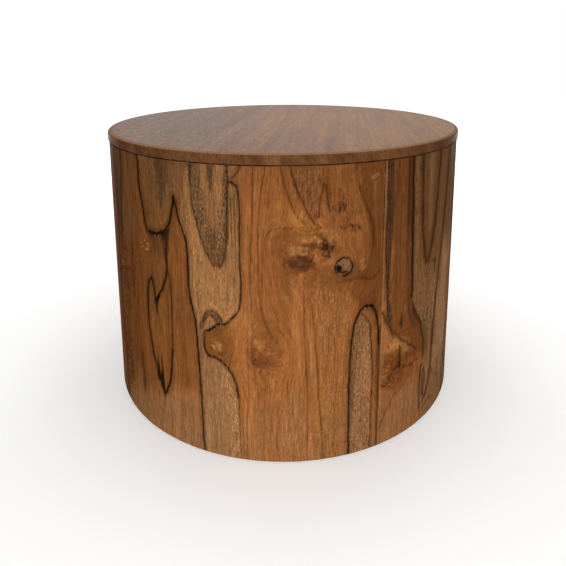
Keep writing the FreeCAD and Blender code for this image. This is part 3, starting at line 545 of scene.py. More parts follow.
def curve_through(points, closed=False):
    """Close samples of a smooth curve through points given as bearing and height."""
    stops = np.array([(along_wall(bearing), height) for bearing, height in points], float)
    if closed:
        stops = np.vstack([stops[-1:], stops, stops[:2]])
    else:
        stops = np.vstack([2 * stops[0] - stops[1], stops, 2 * stops[-1] - stops[-2]])
    samples = []
    for before, start, end, after in zip(stops, stops[1:], stops[2:], stops[3:]):
        count = max(2, int(np.linalg.norm(end - start) / CURVE_STEP))
        t = np.linspace(0, 1, count, endpoint=False)[:, None]
        bend = (2 * before - 5 * start + 4 * end - after) * t ** 2
        twist = (3 * start - before - 3 * end + after) * t ** 3
        samples.append(start + 0.5 * ((end - before) * t + bend + twist))
    samples.append(stops[-2:-1])
    return np.vstack(samples)


def in_box_of(curve, s, h, reach=0.0):
    """Indices of the wall's points in a curve's box, widened by a reach."""
    low = curve.min(0) - reach
    high = curve.max(0) + reach
    return np.flatnonzero((s > low[0]) & (s < high[0]) & (h > low[1]) & (h < high[1]))


def reach_of_curve(curve, s, h, reach):
    """Indices of the wall's points near a curve, their distance and side, and the curve's nearest sample."""
    near = in_box_of(curve, s, h, reach)
    distance = np.full(near.size, FAR)
    side = np.ones(near.size)
    sample = np.zeros(near.size, int)
    tangent = np.gradient(curve, axis=0)
    points_at_once = max(1, DISTANCES_AT_ONCE // len(curve))
    for start in range(0, near.size, points_at_once):
        part = slice(start, start + points_at_once)
        away_s = s[near[part], None] - curve[:, 0]
        away_h = h[near[part], None] - curve[:, 1]
        square = away_s ** 2 + away_h ** 2
        nearest = square.argmin(1)
        row = np.arange(nearest.size)
        turn = tangent[nearest, 0] * away_h[row, nearest] - tangent[nearest, 1] * away_s[row, nearest]
        distance[part] = np.sqrt(square[row, nearest])
        side[part] = np.where(turn < 0, -1, 1)
        sample[part] = nearest
    return near, distance, side, sample


def roughened(curve, half_width):
    """A curve with small steps where it crosses the grain, and how far it crosses it at each sample."""
    run = np.gradient(curve, axis=0)
    crossing = np.abs(run[:, 0]) / (np.hypot(*run.T) + TINY)
    shift_along = half_width * (1 - crossing) * soft_noise(LINE_WANDER, *curve.T)
    shift_up = half_width * crossing * soft_noise(LINE_STEPS, *curve.T)
    return curve + np.column_stack([shift_along, shift_up]), crossing


def taper_of(line, curve):
    """Shares of a line's width: smoky lines thin out at both ends, and short strokes at the last."""
    if line.soft >= SMOKY_SOFT:
        run = np.cumsum(np.hypot(*np.gradient(curve, axis=0).T))
        return smooth_step(np.minimum(run, run[-1] - run) / SMOKY_END)
    if len(line.points) <= SHORT_STROKE_POINTS:
        return np.linspace(1.0, STROKE_END_SHARE, len(curve))
    return np.ones(len(curve))


def inside_outline(outline, s, h):
    """Whether points lie inside a closed outline."""
    inside = np.zeros(s.shape, bool)
    for (s0, h0), (s1, h1) in zip(outline, np.roll(outline, -1, axis=0)):
        if h0 != h1:
            crosses = (h0 > h) != (h1 > h)
            inside ^= crosses & (s < (s1 - s0) * (h - h0) / (h1 - h0) + s0)
    return inside


def scattered(group, rng):
    """A place in a cluster, as distance round the wall and height."""
    s = along_wall(group.bearing) + group.spread_along * rng.normal(0, CLUSTER_SCATTER)
    h = group.height + group.spread_up * rng.normal(0, CLUSTER_SCATTER)
    return s, h


def fleck_lines():
    """The flecks of every group, as short lines."""
    rng = np.random.default_rng(FLECK_SEED)
    lines = []
    for group in FLECK_GROUPS:
        for _ in range(group.count):
            s, h = scattered(group, rng)
            lean = math.radians(group.lean + rng.normal(0, FLECK_LEAN_SPREAD))
            half = group.length * rng.uniform(*FLECK_HALF_SHARES)
            along = half * math.sin(lean)
            up = half * math.cos(lean)
            points = ((bearing_at(s - along), h - up), (bearing_at(s + along), h + up))
            lines.append(Line(FLECK_HALF_WIDTH, FLECK_SOFT, FLECK_STRENGTH, points))
    return tuple(lines)


def glint_spots():
    """The glints of every group, as small spots."""
    rng = np.random.default_rng(GLINT_SEED)
    spots = []
    for group in GLINT_GROUPS:
        for _ in range(group.count):
            s, h = scattered(group, rng)
            wide = group.size * rng.uniform(*GLINT_SIZE_SHARES)
            tall = group.size * rng.uniform(*GLINT_SIZE_SHARES)
            spots.append(Spot(group.tone, GLINT_STRENGTH, GLINT_SOFT, bearing_at(s), h, wide, tall))
    return tuple(spots)


def bark_ring():
    """The dark line round the bark-ringed knot."""
    turns = np.radians(np.arange(0, 360 + BARK_STEP, BARK_STEP))
    bearings = RING_KNOT.bearing + bearing_at(RING_KNOT.radius * np.cos(turns))
    heights = RING_KNOT.height + RING_KNOT.radius * np.sin(turns)
    return Line(BARK_HALF_WIDTH, BARK_SOFT, BARK_STRENGTH, tuple(zip(bearings, heights)))


def flow_of_fibres(s, h):
    """A coordinate that is constant along each fibre, closeness to the knots, and their rings and curl."""
    fibre = s + soft_noise(FIBRE_SWAY, s, h)
    ring = np.full(s.shape, FAR)
    ring_strength = np.zeros(s.shape)
    burl = np.zeros(s.shape)
    for index, knot in enumerate(KNOTS):
        away_s = s - along_wall(knot.bearing)
        away_h = (h - knot.height) / knot.stretch
        radius = np.hypot(away_s, away_h) + TINY
        fibre = fibre - away_s * np.minimum(1, (PARTING_REACH * knot.radius / radius) ** 2)
        fade = knot.curl * np.exp(-(radius / (CURL_REACH * knot.radius)) ** 2)
        curl = soft_noise(KNOT_CURL, s, h, index)
        fibre = fibre + CURL_DEPTH * fade * curl
        burl += fade
        closeness = radius / knot.radius + RING_CURL * knot.curl * curl
        closer = closeness < ring
        ring = np.where(closer, closeness, ring)
        ring_strength = np.where(closer, knot.rings, ring_strength)
    return fibre, ring, ring_strength, burl


def dark_lines(s, h, fibre):
    """Distance to the nearest dark line, what kind of line it is there, and a growth coordinate beside it."""
    distance = np.full(s.shape, FAR)
    half_width = np.ones(s.shape)
    soft = np.ones(s.shape)
    strength = np.zeros(s.shape)
    crossing = np.zeros(s.shape)
    growth = fibre.copy()
    for line in LINES + fleck_lines() + (bark_ring(),):
        curve, level = roughened(curve_through(line.points), line.half_width)
        reach = LINE_REACH if len(line.points) > FLECK_POINTS else FLECK_REACH
        near, away, side, sample = reach_of_curve(curve, s, h, reach)
        share = taper_of(line, curve)[sample]
        width = line.half_width * share
        taken = away - width < distance[near] - half_width[near]
        near, away, side, sample = near[taken], away[taken], side[taken], sample[taken]
        distance[near] = away
        half_width[near] = width[taken]
        soft[near] = line.soft
        strength[near] = line.strength * np.sqrt(share[taken])
        crossing[near] = level[sample]
        pull = PULL * np.exp(-(away / PULL_REACH) ** 2) * min(1.0, line.strength + LEAST_PULL_SHARE)
        growth[near] = fibre[near] + pull * (curve[:, 0].mean() + side * away - fibre[near])
    return distance, half_width, soft, strength, crossing, growth


def depth_in(wash, s, h):
    """How far points lie inside a patch's outline, below 0 where they lie outside it."""
    curve = curve_through(wash.outline, closed=True)
    within = in_box_of(curve, s, h)
    within = within[inside_outline(curve, s[within], h[within])]
    near, away, _, _ = reach_of_curve(curve, s, h, FEATHER_REACH * wash.feather)
    depth = np.full(s.shape, -FAR)
    depth[near] = -away
    depth[within] = np.where(depth[within] > -FAR, -depth[within], FAR)
    return depth


def away_from(spot, s, h):
    """The distance from a spot's middle, with its edge at 1."""
    return np.hypot((s - along_wall(spot.bearing)) / spot.half_width, (h - spot.height) / spot.half_height)


def painted(s, h, fibre):
    """The wood's tone and its pores, patch over patch."""
    tone = np.tile(linear(TONES[BASE_TONE]), (s.size, 1))
    pores = np.full(s.shape, BASE_PORES)
    patch_edge = soft_noise(PATCH_EDGE, fibre, h)
    for wash in WASHES:
        depth = depth_in(wash, s, h) / wash.feather
        share = wash.strength * smooth_step(0.5 + 0.5 * (depth + patch_edge))
        tone += share[:, None] * (linear(TONES[wash.tone]) - tone)
        pores += share * (wash.pores - pores)
    spot_edge = soft_noise(SPOT_EDGE, s, h)
    for spot in SPOTS + glint_spots():
        depth = 1 - away_from(spot, s, h) + spot_edge * min(1.0, spot.soft)
        share = spot.strength * smooth_step(0.5 + depth / spot.soft)
        tone += share[:, None] * (linear(TONES[spot.tone]) - tone)
    return tone, pores


def crack_depth(s, h):
    """How far the crack in the bark-ringed knot goes in."""
    return CRACK_DEPTH * smooth_step((CRACK_RIM - away_from(CRACK, s, h)) / CRACK_SLOPE)


def figure_layers(s, h):
    """What a leaf stores at its points for its finish, three numbers to a layer."""
    fibre, ring, ring_strength, burl = flow_of_fibres(s, h)
    distance, half_width, soft, strength, crossing, growth = dark_lines(s, h, fibre)
    tone, pores = painted(s, h, fibre)
    return {
        "tone": tone,
        "flow": np.column_stack([fibre, growth, h]),
        "vein": np.column_stack([distance, half_width, strength]),
        "knot": np.column_stack([ring, ring_strength, burl]),
        "grain": np.column_stack([pores, crossing, soft]),
    }


def store(mesh, name, values):
    """Stores three numbers at each of the mesh's points."""
    layer = mesh.attributes.new(name, "FLOAT_VECTOR", "POINT")
    layer.data.foreach_set("vector", np.ascontiguousarray(values, np.float32).ravel())


def round_axis(radius, turn, height):
    """Points round the drum's axis, turned from the front towards +X."""
    return np.column_stack([radius * np.sin(turn), -radius * np.cos(turn), height])


def new_mesh(name, points, faces):
    """A mesh of points and faces."""
    mesh = bpy.data.meshes.new(name)
    mesh.from_pydata(points, [], faces)
    return mesh


def add_object(name, data):
    """An object in the scene."""
    made = bpy.data.objects.new(name, data)
    bpy.context.scene.collection.objects.link(made)
    return made


def finish_piece(mesh, node, material):
    """Puts a made piece in its CAD node's place, on the table's body."""
    mesh.materials.append(material)
    mesh.shade_smooth()
    mesh.set_sharp_from_angle(angle=SHARP_ANGLE)
    piece = add_object(mesh.name, mesh)
    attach(piece, "table")
    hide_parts(node)


def leaf_rims(columns, rows):
    """Numbers of the points along the bottom and along the top of a leaf's outer face."""
    bottom = np.arange(columns + 1) * (rows + 1)
    return bottom, bottom + rows


def leaf_faces(columns, rows):
    """Faces of a leaf: its outer face column by column, then its edges and back."""
    bottom, top = leaf_rims(columns, rows)
    back_bottom = (columns + 1) * (rows + 1) + np.arange(columns + 1)
    back_top = back_bottom + columns + 1
    first = (bottom[:-1, None] + np.arange(rows)).ravel()
    faces = np.column_stack([first, first + rows + 1, first + rows + 2, first + 1]).tolist()
    for k in range(columns):
        faces.append([bottom[k], back_bottom[k], back_bottom[k + 1], bottom[k + 1]])
        faces.append([top[k + 1], back_top[k + 1], back_top[k], top[k]])
        faces.append([back_bottom[k], back_top[k], back_top[k + 1], back_bottom[k + 1]])
    faces.append([*range(bottom[0], top[0] + 1), back_top[0], back_bottom[0]])
    faces.append([*range(top[-1], bottom[-1] - 1, -1), back_bottom[-1], back_top[-1]])
    return faces


def side_leaf(side, material):
    """One leaf of the wall: a fine outer face that carries the figure, closed by its edges and back."""
    leaf = LEAVES[side]
    half_span = math.radians(LEAF_SPAN) / 2 - SEAM_GAP / DRUM_RADIUS / 2
    columns = int(2 * half_span * WALL_RADIUS / WALL_STEP)
    rows = int((DRUM_TOP - DRUM_BASE) / MM / WALL_STEP)
    turn = np.repeat(math.radians(leaf.middle) + np.linspace(-half_span, half_span, columns + 1), rows + 1)
    height = np.tile(np.linspace(DRUM_BASE, DRUM_TOP, rows + 1), columns + 1)
    s = along_wall(leaf.figure_sign * np.degrees(turn) + leaf.figure_offset)
    h = height / MM
    outer = round_axis(DRUM_RADIUS - crack_depth(s, h), turn, height)
    rims = np.concatenate(leaf_rims(columns, rows))
    back = round_axis(DRUM_RADIUS - VENEER, turn[rims], height[rims])

    points = np.vstack([outer, back]).tolist()
    mesh = new_mesh(f"side_veneer_{side}", points, leaf_faces(columns, rows))
    every = np.concatenate([np.arange(len(outer)), rims])
    for name, values in figure_layers(s, h).items():
        store(mesh, name, values[every])
    finish_piece(mesh, f"side_leaf_{side}", material)


def lipping_profile():
    """The section of the lipping from its inner foot round the outside to its inner head."""
    inner = TOP_RADIUS - LIPPING_WIDTH
    points = [(inner, TOP_UNDERSIDE)]
    corners = (
        (TOP_UNDERSIDE + LOWER_ROUND, LOWER_ROUND, -90, LOWER_ROUND_STEPS),
        (TOP_HEIGHT - UPPER_ROUND, UPPER_ROUND, 0, UPPER_ROUND_STEPS),
    )
    for up, radius, start, steps in corners:
        for step in range(steps + 1):
            angle = math.radians(start + 90 * step / steps)
            points.append((TOP_RADIUS - radius + radius * math.cos(angle), up + radius * math.sin(angle)))
    points.append((inner, TOP_HEIGHT))
    return points


def profile_lengths():
    """The length of the lipping's section up to each of its points, in millimetres."""
    profile = lipping_profile()
    return np.cumsum([0.0] + [math.dist(a, b) for a, b in zip(profile, profile[1:])]) / MM


def lipping(material):
    """The solid edge of the top, turned from its section."""
    profile = lipping_profile()
    count = len(profile)
    radius, height = np.tile(profile, (LIPPING_SEGMENTS, 1)).T
    turn = np.repeat(np.linspace(0, 2 * math.pi, LIPPING_SEGMENTS, endpoint=False), count)
    faces = []
    for k in range(LIPPING_SEGMENTS):
        here = k * count
        there = (k + 1) % LIPPING_SEGMENTS * count
        for m in range(count):
            after = (m + 1) % count
            faces.append((here + m, there + m, there + after, here + after))
    mesh = new_mesh("edge_lipping", round_axis(radius, turn, height).tolist(), faces)
    store(mesh, "flow", round_axis(1.0, turn, np.tile(profile_lengths(), LIPPING_SEGMENTS)))
    finish_piece(mesh, "top_lipping", material)


# Finishes: least and greatest roughness, depth of the relief, and strength of the gloss
Finish = namedtuple("Finish", "smoothest roughest relief gloss")
FINISHES = {
    "teak_face": Finish(0.36, 0.56, 0.1 * MM, 0.16),
    "teak_lipping": Finish(0.5, 0.7, 0.08 * MM, 0.03),
    "teak_side": Finish(0.6, 0.8, 0.12 * MM, 0.01),
    "backing_veneer": Finish(0.55, 0.75, 0.1 * MM, 0.3),
    "bending_plywood": Finish(0.55, 0.75, 0.1 * MM, 0.3),
    "softwood": Finish(0.55, 0.75, 0.1 * MM, 0.3),
    "fibreboard": Finish(0.75, 0.85, 0.08 * MM, 0.2),
    "ring_plywood": Finish(0.6, 0.8, 0.1 * MM, 0.3),
    "zinc_steel": Finish(0.2, 0.45, 0.03 * MM, 0.5),
    "nylon": Finish(0.45, 0.65, 0.05 * MM, 0.4),
}
NOISE_MIDDLE = 0.5
NOISE_CORE = (0.35, 0.65)
WHITE = (1.0, 1.0, 1.0, 1.0)

# Noise along the grain: width and length of a cell, seed, detail and roughness
Grain = namedtuple("Grain", "width length seed detail roughness", defaults=(0.5,))


class Signal:
    """What a node gives out over the surface, with sums and products as further nodes."""

    def __init__(self, nodes, socket):
        self.nodes = nodes
        self.socket = socket

    def __add__(self, other):
        return self.nodes.math("ADD", self, other)

    def __sub__(self, other):
        return self.nodes.math("SUBTRACT", self, other)

    def __rsub__(self, other):
        return self.nodes.math("SUBTRACT", other, self)

    def __mul__(self, other):
        return self.nodes.math("MULTIPLY", self, other)

    def __truediv__(self, other):
        return self.nodes.math("DIVIDE", self, other)

    def __pow__(self, other):
        return self.nodes.math("POWER", self, other)


class Nodes:
    """The nodes of one material, with short ways to add to them."""

    def __init__(self, name):
        self.name = name
        self.material = bpy.data.materials.new(name)
        self.material.use_nodes = True
        self.tree = self.material.node_tree
        self.surface = self.tree.nodes["Principled BSDF"]

    def feed(self, value, socket):
        """Links a signal to a socket, or sets the socket's constant."""
        if isinstance(value, Signal):
            self.tree.links.new(value.socket, socket)
        else:
            socket.default_value = value

    def node(self, kind, *values, **settings):
        """A node with its settings and its first inputs."""
        node = self.tree.nodes.new(f"ShaderNode{kind}")
        for name, setting in settings.items():
            setattr(node, name, setting)
        for value, socket in zip(values, node.inputs):
            self.feed(value, socket)
        return node

    def signal(self, kind, *values, output=0, **settings):
        """One output of a new node."""
        return Signal(self, self.node(kind, *values, **settings).outputs[output])

    def math(self, operation, first, second=0.0):
        """One sum or product of numbers."""
        return self.signal("Math", first, second, operation=operation)

    def vector(self, x, y, z=0.0):
        """A vector of three numbers."""
        return self.signal("CombineXYZ", x, y, z)

    def split(self, vector):
        """The three numbers of a vector."""
        return [Signal(self, socket) for socket in self.node("SeparateXYZ", vector).outputs]

    def length(self, vector):
        """The length of a vector."""
        return self.signal("VectorMath", vector, operation="LENGTH", output="Value")

    def place(self):
        """The place on the piece, in metres."""
        return self.signal("TexCoord", output="Object")

    def stored(self, name):
        """The vector that the mesh stores under a name."""
        return self.signal("Attribute", attribute_name=name, output="Vector")

    def noise(self, vector, detail=2.0, roughness=0.5):
        """Noise with one cell to a unit."""
        node = self.node("TexNoise", vector)
        for name, value in (("Scale", 1.0), ("Detail", detail), ("Roughness", roughness)):
            node.inputs[name].default_value = value
        return Signal(self, node.outputs["Fac"])

    def cells(self, width, height, detail=2.0, roughness=0.5):
        """Noise over the piece, in cells of a width and a height."""
        cell = self.scaled(self.place(), (1 / width, 1 / width, 1 / height))
        return self.noise(cell, detail, roughness)

    def grain(self, across, along, grain):
        """Noise stretched along the grain."""
        cell = self.vector(across / grain.width, along / grain.length, grain.seed)
        return self.noise(cell, grain.detail, grain.roughness)

    def rise(self, value, low, high):
        """An eased rise from 0 at low to 1 at high."""
        return self.signal("MapRange", value, low, high, interpolation_type="SMOOTHSTEP")

    def about(self, noise, contrast):
        """A factor round 1 that follows a noise."""
        return (noise - NOISE_MIDDLE) * contrast + 1.0

    def scaled(self, colour, factor):
        """A colour times a number or a colour."""
        return self.signal("VectorMath", colour, factor, operation="MULTIPLY")

    def varied(self, colour, *noises):
        """A colour made lighter and darker by noises, each with its contrast."""
        for noise, contrast in noises:
            colour = self.scaled(colour, self.about(noise, contrast))
        return colour

    def mixed(self, factor, first, second):
        """A mix of two colours."""
        node = self.node("Mix", factor, data_type="RGBA")
        for value, socket in ((first, node.inputs[6]), (second, node.inputs[7])):
            self.feed(value if isinstance(value, Signal) else (*linear(value), 1.0), socket)
        return Signal(self, node.outputs[2])

    def coat(self, values):
        """Feeds the surface's sockets by their names."""
        for name, value in values.items():
            self.feed(value, self.surface.inputs[name])

    def finish(self, colour, rough, height):
        """Feeds the surface, whose roughness follows a noise, with a fine relief."""
        look = FINISHES[self.name]
        relief = self.node("Bump")
        relief.inputs["Strength"].default_value = 1.0
        relief.inputs["Distance"].default_value = look.relief
        self.feed(height, relief.inputs["Height"])
        self.coat({
            "Base Color": colour,
            "Roughness": rough * (look.roughest - look.smoothest) + look.smoothest,
            "Specular IOR Level": look.gloss,
            "Normal": Signal(self, relief.outputs[0]),
        })
        return self.material


# Grain of the wall, in millimetres
SIDE_GRAINS = {
    "band": Grain(13.0, 240.0, 3.0, 2.0),
    "streak": Grain(4.0, 95.0, 11.0, 3.0, 0.65),
    "fine": Grain(1.9, 24.0, 23.0, 3.0, 0.65),
    "warmth": Grain(8.0, 130.0, 31.0, 2.0),
    "speck": Grain(1.9, 15.0, 41.0, 1.0),
    "prick": Grain(2.0, 4.5, 47.0, 1.0),
    "ragged": Grain(2.6, 30.0, 53.0, 2.0, 0.65),
}
BAND_CONTRAST = 0.9
STREAK_CONTRAST = 1.0
FINE_CONTRAST = 1.55
COOL_TINT = (0.94, 1.0, 1.12)
RINGS_TO_RADIUS = 5.0
RING_WANDER = 0.8
RING_SEED = 7.0
RING_CONTRAST = 2.0
SWIRL_CELL = 7 * MM
SWIRL_CONTRAST = 2.2
SPECK_SHARE = 0.85
PRICK_SHARE = 0.8
GLOW = 1.1
PORE_SHARE = 0.7
PORE_TONE = (40, 25, 15)
RAGGED = 2.5
VEIN_CORE_SHARE = 0.4
VEIN_DEPTH_SHARE = 0.4
VEIN_TONE = (20, 11, 6)
SMOKE_REACH = 9.5
SMOKE_SHARE = 0.5
SMOKE_TONE = (46, 26, 12)
FINE_DEPTH_SHARE = 0.5


def grown(n, growth, up, fine):
    """The painted tones with growth bands, streaks, fibres and cooler stripes."""
    band = n.grain(growth, up, SIDE_GRAINS["band"])
    streak = n.grain(growth, up, SIDE_GRAINS["streak"])
    warmth = n.grain(growth, up, SIDE_GRAINS["warmth"])
    contrasts = ((band, BAND_CONTRAST), (streak, STREAK_CONTRAST), (fine, FINE_CONTRAST))
    colour = n.varied(n.stored("tone"), *contrasts)
    return n.mixed(n.rise(warmth, 0.38, 0.62), colour, n.scaled(colour, COOL_TINT))


def knotted(n, colour, fine):
    """A colour with rings and swirls in the knots."""
    ring, ring_strength, burl = n.split(n.stored("knot"))
    rings = n.noise(n.vector(ring * RINGS_TO_RADIUS + fine * RING_WANDER, 0.0, RING_SEED))
    ring_fade = ring_strength * n.rise(ring, 2.2, 0.7)
    swirl = n.cells(SWIRL_CELL, SWIRL_CELL, 3.0, 0.6)
    return n.varied(colour, (rings, ring_fade * RING_CONTRAST), (swirl, burl * SWIRL_CONTRAST))


def pored(n, colour, fibre, up, pore_share):
    """A colour with dark pores and a glow between them, and where the pores are."""
    speck = n.grain(fibre, up, SIDE_GRAINS["speck"])
    prick = n.grain(fibre, up, SIDE_GRAINS["prick"])
    crowded = pore_share ** 2.0
    specks = n.rise(speck, 0.5, 0.66) * SPECK_SHARE * pore_share
    pricks = n.rise(prick, 0.5, 0.64) * PRICK_SHARE * crowded
    glow = n.rise(prick, 0.46, 0.32) * crowded * GLOW
    pores = specks + pricks
    return n.mixed(pores * PORE_SHARE, n.scaled(colour, glow + 1.0), PORE_TONE), pores


def veined(n, colour, fibre, up, crossing, soft):
    """A colour with dark lines and the smoke beside them, and where the lines are."""
    distance, half_width, strength = n.split(n.stored("vein"))
    ragged = n.grain(fibre, up, SIDE_GRAINS["ragged"]) - NOISE_MIDDLE
    edge = distance + ragged * (crossing + 1.0) * RAGGED
    smoke = n.rise(edge, half_width * SMOKE_REACH, 0.0) ** 2.0 * strength * SMOKE_SHARE
    vein = n.rise(edge, half_width + soft, half_width * VEIN_CORE_SHARE) * strength
    return n.mixed(vein, n.mixed(smoke, colour, SMOKE_TONE), VEIN_TONE), vein


def teak_side():
    """Figured teak: painted tones, growth bands, fibres, rings in knots, pores, and dark lines."""
    n = Nodes("teak_side")
    fibre, growth, up = n.split(n.stored("flow"))
    pore_share, crossing, soft = n.split(n.stored("grain"))
    fine = n.grain(fibre, up, SIDE_GRAINS["fine"])
    colour = knotted(n, grown(n, growth, up, fine), fine)
    colour, pores = pored(n, colour, fibre, up, pore_share)
    colour, vein = veined(n, colour, fibre, up, crossing, soft)
    return n.finish(colour, fine, fine * FINE_DEPTH_SHARE - pores - vein * VEIN_DEPTH_SHARE)


# Grain of the top, in millimetres. Its leaves are cut from other lengths of the same wood.
FACE_GRAINS = {
    "sway": Grain(90.0, 260.0, 2.0, 2.0),
    "wide": Grain(30.0, 380.0, 5.0, 2.0),
    "streak": Grain(7.0, 150.0, 17.0, 3.0, 0.65),
    "fine": Grain(2.4, 46.0, 29.0, 3.0, 0.65),
    "rosy": Grain(24.0, 300.0, 37.0, 1.0),
    "speck": Grain(2.8, 19.0, 43.0, 2.0),
}
FACE_WIDE_CONTRAST = 0.6
FACE_STREAK_CONTRAST = 0.8
FACE_FINE_CONTRAST = 1.2
FACE_SWAY = 14.0
LEAF_LENGTH_STEP = 613.0
FACE_COOL_TONE = (146, 114, 88)
FACE_WARM_TONE = (166, 117, 72)
WARM_FROM = -170.0
WARM_TO = 60.0
WARM_WANDER = 240.0
ROSY_TONE = (152, 104, 77)
ROSY_SHARE = 0.6
FACE_FLECK_TONE = (52, 36, 26)
FACE_FLECK_SHARE = 0.65
COOL_FLECKS = 0.95
WARM_FLECK_LOSS = 0.6
JOINT_TONE = (70, 46, 30)
FACE_JOINT_WIDTH = 0.8
FACE_JOINT_SHARE = 0.35


def teak_face():
    """Straight-grained teak of the top: leaves side by side, greyer at the left, with fine dark flecks."""
    n = Nodes("teak_face")
    turned = n.signal("Mapping", n.place(), (0.0, 0.0, 0.0), (0.0, 0.0, TOP_GRAIN_LEAN), (1 / MM,) * 3)
    across, along, _ = n.split(turned)
    core_radius = (TOP_RADIUS - LIPPING_WIDTH) / MM
    leaf_number = n.math("FLOOR", (across + core_radius) / (2 * core_radius / TOP_LEAF_COUNT))
    shifted = along + leaf_number * LEAF_LENGTH_STEP
    swayed = across + n.grain(across, shifted, FACE_GRAINS["sway"]) * FACE_SWAY
    wide, streak, fine, rosy, speck = [
        n.grain(swayed, shifted, FACE_GRAINS[name]) for name in ("wide", "streak", "fine", "rosy", "speck")
    ]

    warm = n.rise(across + (wide - NOISE_MIDDLE) * WARM_WANDER, WARM_FROM, WARM_TO)
    colour = n.mixed(warm, FACE_COOL_TONE, FACE_WARM_TONE)
    colour = n.mixed(n.rise(rosy, 0.5, 0.62) * ROSY_SHARE, colour, ROSY_TONE)
    contrasts = ((wide, FACE_WIDE_CONTRAST), (streak, FACE_STREAK_CONTRAST), (fine, FACE_FINE_CONTRAST))
    colour = n.varied(colour, *contrasts)
    flecks = n.rise(speck, 0.52, 0.66) * (COOL_FLECKS - warm * WARM_FLECK_LOSS)
    colour = n.mixed(flecks * FACE_FLECK_SHARE, colour, FACE_FLECK_TONE)
    joint = n.rise(n.length(n.vector(across, along)), core_radius - FACE_JOINT_WIDTH, core_radius)
    colour = n.mixed(joint * FACE_JOINT_SHARE, colour, JOINT_TONE)
    return n.finish(colour, fine, fine * FINE_DEPTH_SHARE - flecks)


# Grain of the lipping, in millimetres round the edge and over its section. The painted highlight band on
# the upper round and the joint are measured back from the section's inner head.
LIPPING_GRAINS = {
    "patch": Grain(38.0, 60.0, 3.0, 2.0, 0.6),
    "mark": Grain(5.0, 22.0, 11.0, 3.0, 0.6),
    "fine": Grain(2.0, 9.0, 23.0, 2.0, 0.6),
}
LIPPING_SLANT = 0.3
LIPPING_DARK_TONE = (97, 61, 35)
LIPPING_PALE_TONE = (117, 77, 46)
MARK_TONE = (46, 27, 15)
MARK_SHARE = 0.55
MARK_CONTRAST = 1.5
LIPPING_FINE_CONTRAST = 1.2
# Painted highlight: a pale band on the lipping's upper round stands in for the light falling on it
PAINTED_HIGHLIGHT_TONE = (186, 138, 102)
PAINTED_HIGHLIGHT_SHARE = 0.65
PAINTED_HIGHLIGHT_FROM = 6.0
PAINTED_HIGHLIGHT_TO = 4.0
LIPPING_JOINT_SHARE = 0.3
LIPPING_JOINT_FROM = 1.6
LIPPING_JOINT_TO = 0.6


def teak_lipping():
    """Solid teak of the edge: short slanting grain marks, a painted highlight on the upper round, and a dark
    joint.
    """
    n = Nodes("teak_lipping")
    sine, minus_cosine, run = n.split(n.stored("flow"))
    rim = TOP_RADIUS / MM
    x = sine * rim + run * LIPPING_SLANT
    y = minus_cosine * rim

    def marks(grain):
        """Noise in cells of a width round the edge and a length over it."""
        cell = n.vector(x / grain.width, y / grain.width, run / grain.length + grain.seed)
        return n.noise(cell, grain.detail, grain.roughness)

    mark = marks(LIPPING_GRAINS["mark"])
    fine = marks(LIPPING_GRAINS["fine"])
    patch = n.rise(marks(LIPPING_GRAINS["patch"]), *NOISE_CORE)
    colour = n.mixed(patch, LIPPING_DARK_TONE, LIPPING_PALE_TONE)
    colour = n.varied(colour, (mark, MARK_CONTRAST), (fine, LIPPING_FINE_CONTRAST))
    dark = n.rise(mark, 0.54, 0.68) * MARK_SHARE
    colour = n.mixed(dark, colour, MARK_TONE)
    full = profile_lengths()[-1]
    # Painted highlight along the upper round, broken up by the grain marks
    painted_highlight = n.rise(run, full - PAINTED_HIGHLIGHT_FROM, full - PAINTED_HIGHLIGHT_TO) * n.about(mark, 1.0)
    colour = n.mixed(painted_highlight * PAINTED_HIGHLIGHT_SHARE, colour, PAINTED_HIGHLIGHT_TONE)
    joint = n.rise(run, full - LIPPING_JOINT_FROM, full - LIPPING_JOINT_TO)
    colour = n.mixed(joint * LIPPING_JOINT_SHARE, colour, JOINT_TONE)
    return n.finish(colour, fine, fine - dark)


# Unfigured woods: pale and dark tone, width and length of their streaks, and whether their grain is upright
FINE_WIDTH_SHARE = 0.2
FINE_LENGTH_SHARE = 0.25
FAINT_CONTRAST = 0.5
PlainWood = namedtuple("PlainWood", "pale dark width length upright")
PLAIN_WOODS = {
    "backing_veneer": PlainWood((190, 155, 112), (160, 122, 82), 9 * MM, 220 * MM, False),
    "bending_plywood": PlainWood((188, 146, 116), (160, 116, 86), 8 * MM, 200 * MM, True),
    "softwood": PlainWood((206, 170, 118), (176, 132, 82), 5 * MM, 240 * MM, True),
}


def plain_wood(name):
    """An unfigured wood with streaks along its grain."""
    n = Nodes(name)
    wood = PLAIN_WOODS[name]
    x, y, z = n.split(n.place())
    across, along = (x + y, z) if wood.upright else (y, x)
    streak = n.grain(across, along, Grain(wood.width, wood.length, 3.0, 3.0, 0.6))
    fine_cell = (wood.width * FINE_WIDTH_SHARE, wood.length * FINE_LENGTH_SHARE)
    fine = n.grain(across, along, Grain(*fine_cell, 9.0, 2.0))
    colour = n.mixed(n.rise(streak, *NOISE_CORE), wood.pale, wood.dark)
    return n.finish(n.varied(colour, (fine, FAINT_CONTRAST)), fine, fine)


# Plywood: thickness of two plies, and tones of its plies and its face
PLY_PAIR = 2.8 * MM
PLY_TONES = ((176, 140, 98), (120, 86, 55))
PLY_FACE_TONES = ((196, 160, 116), (170, 130, 88))
PLY_FACE_GRAIN = Grain(7 * MM, 160 * MM, 3.0, 3.0, 0.6)
PLY_CONTRAST = 0.4

# Two tones each of the board, the steel and the pads
BOARD_TONES = ((150, 117, 84), (132, 101, 71))
ZINC_TONES = ((196, 198, 200), (168, 170, 168))
NYLON_TONES = ((26, 26, 27), (40, 40, 41))


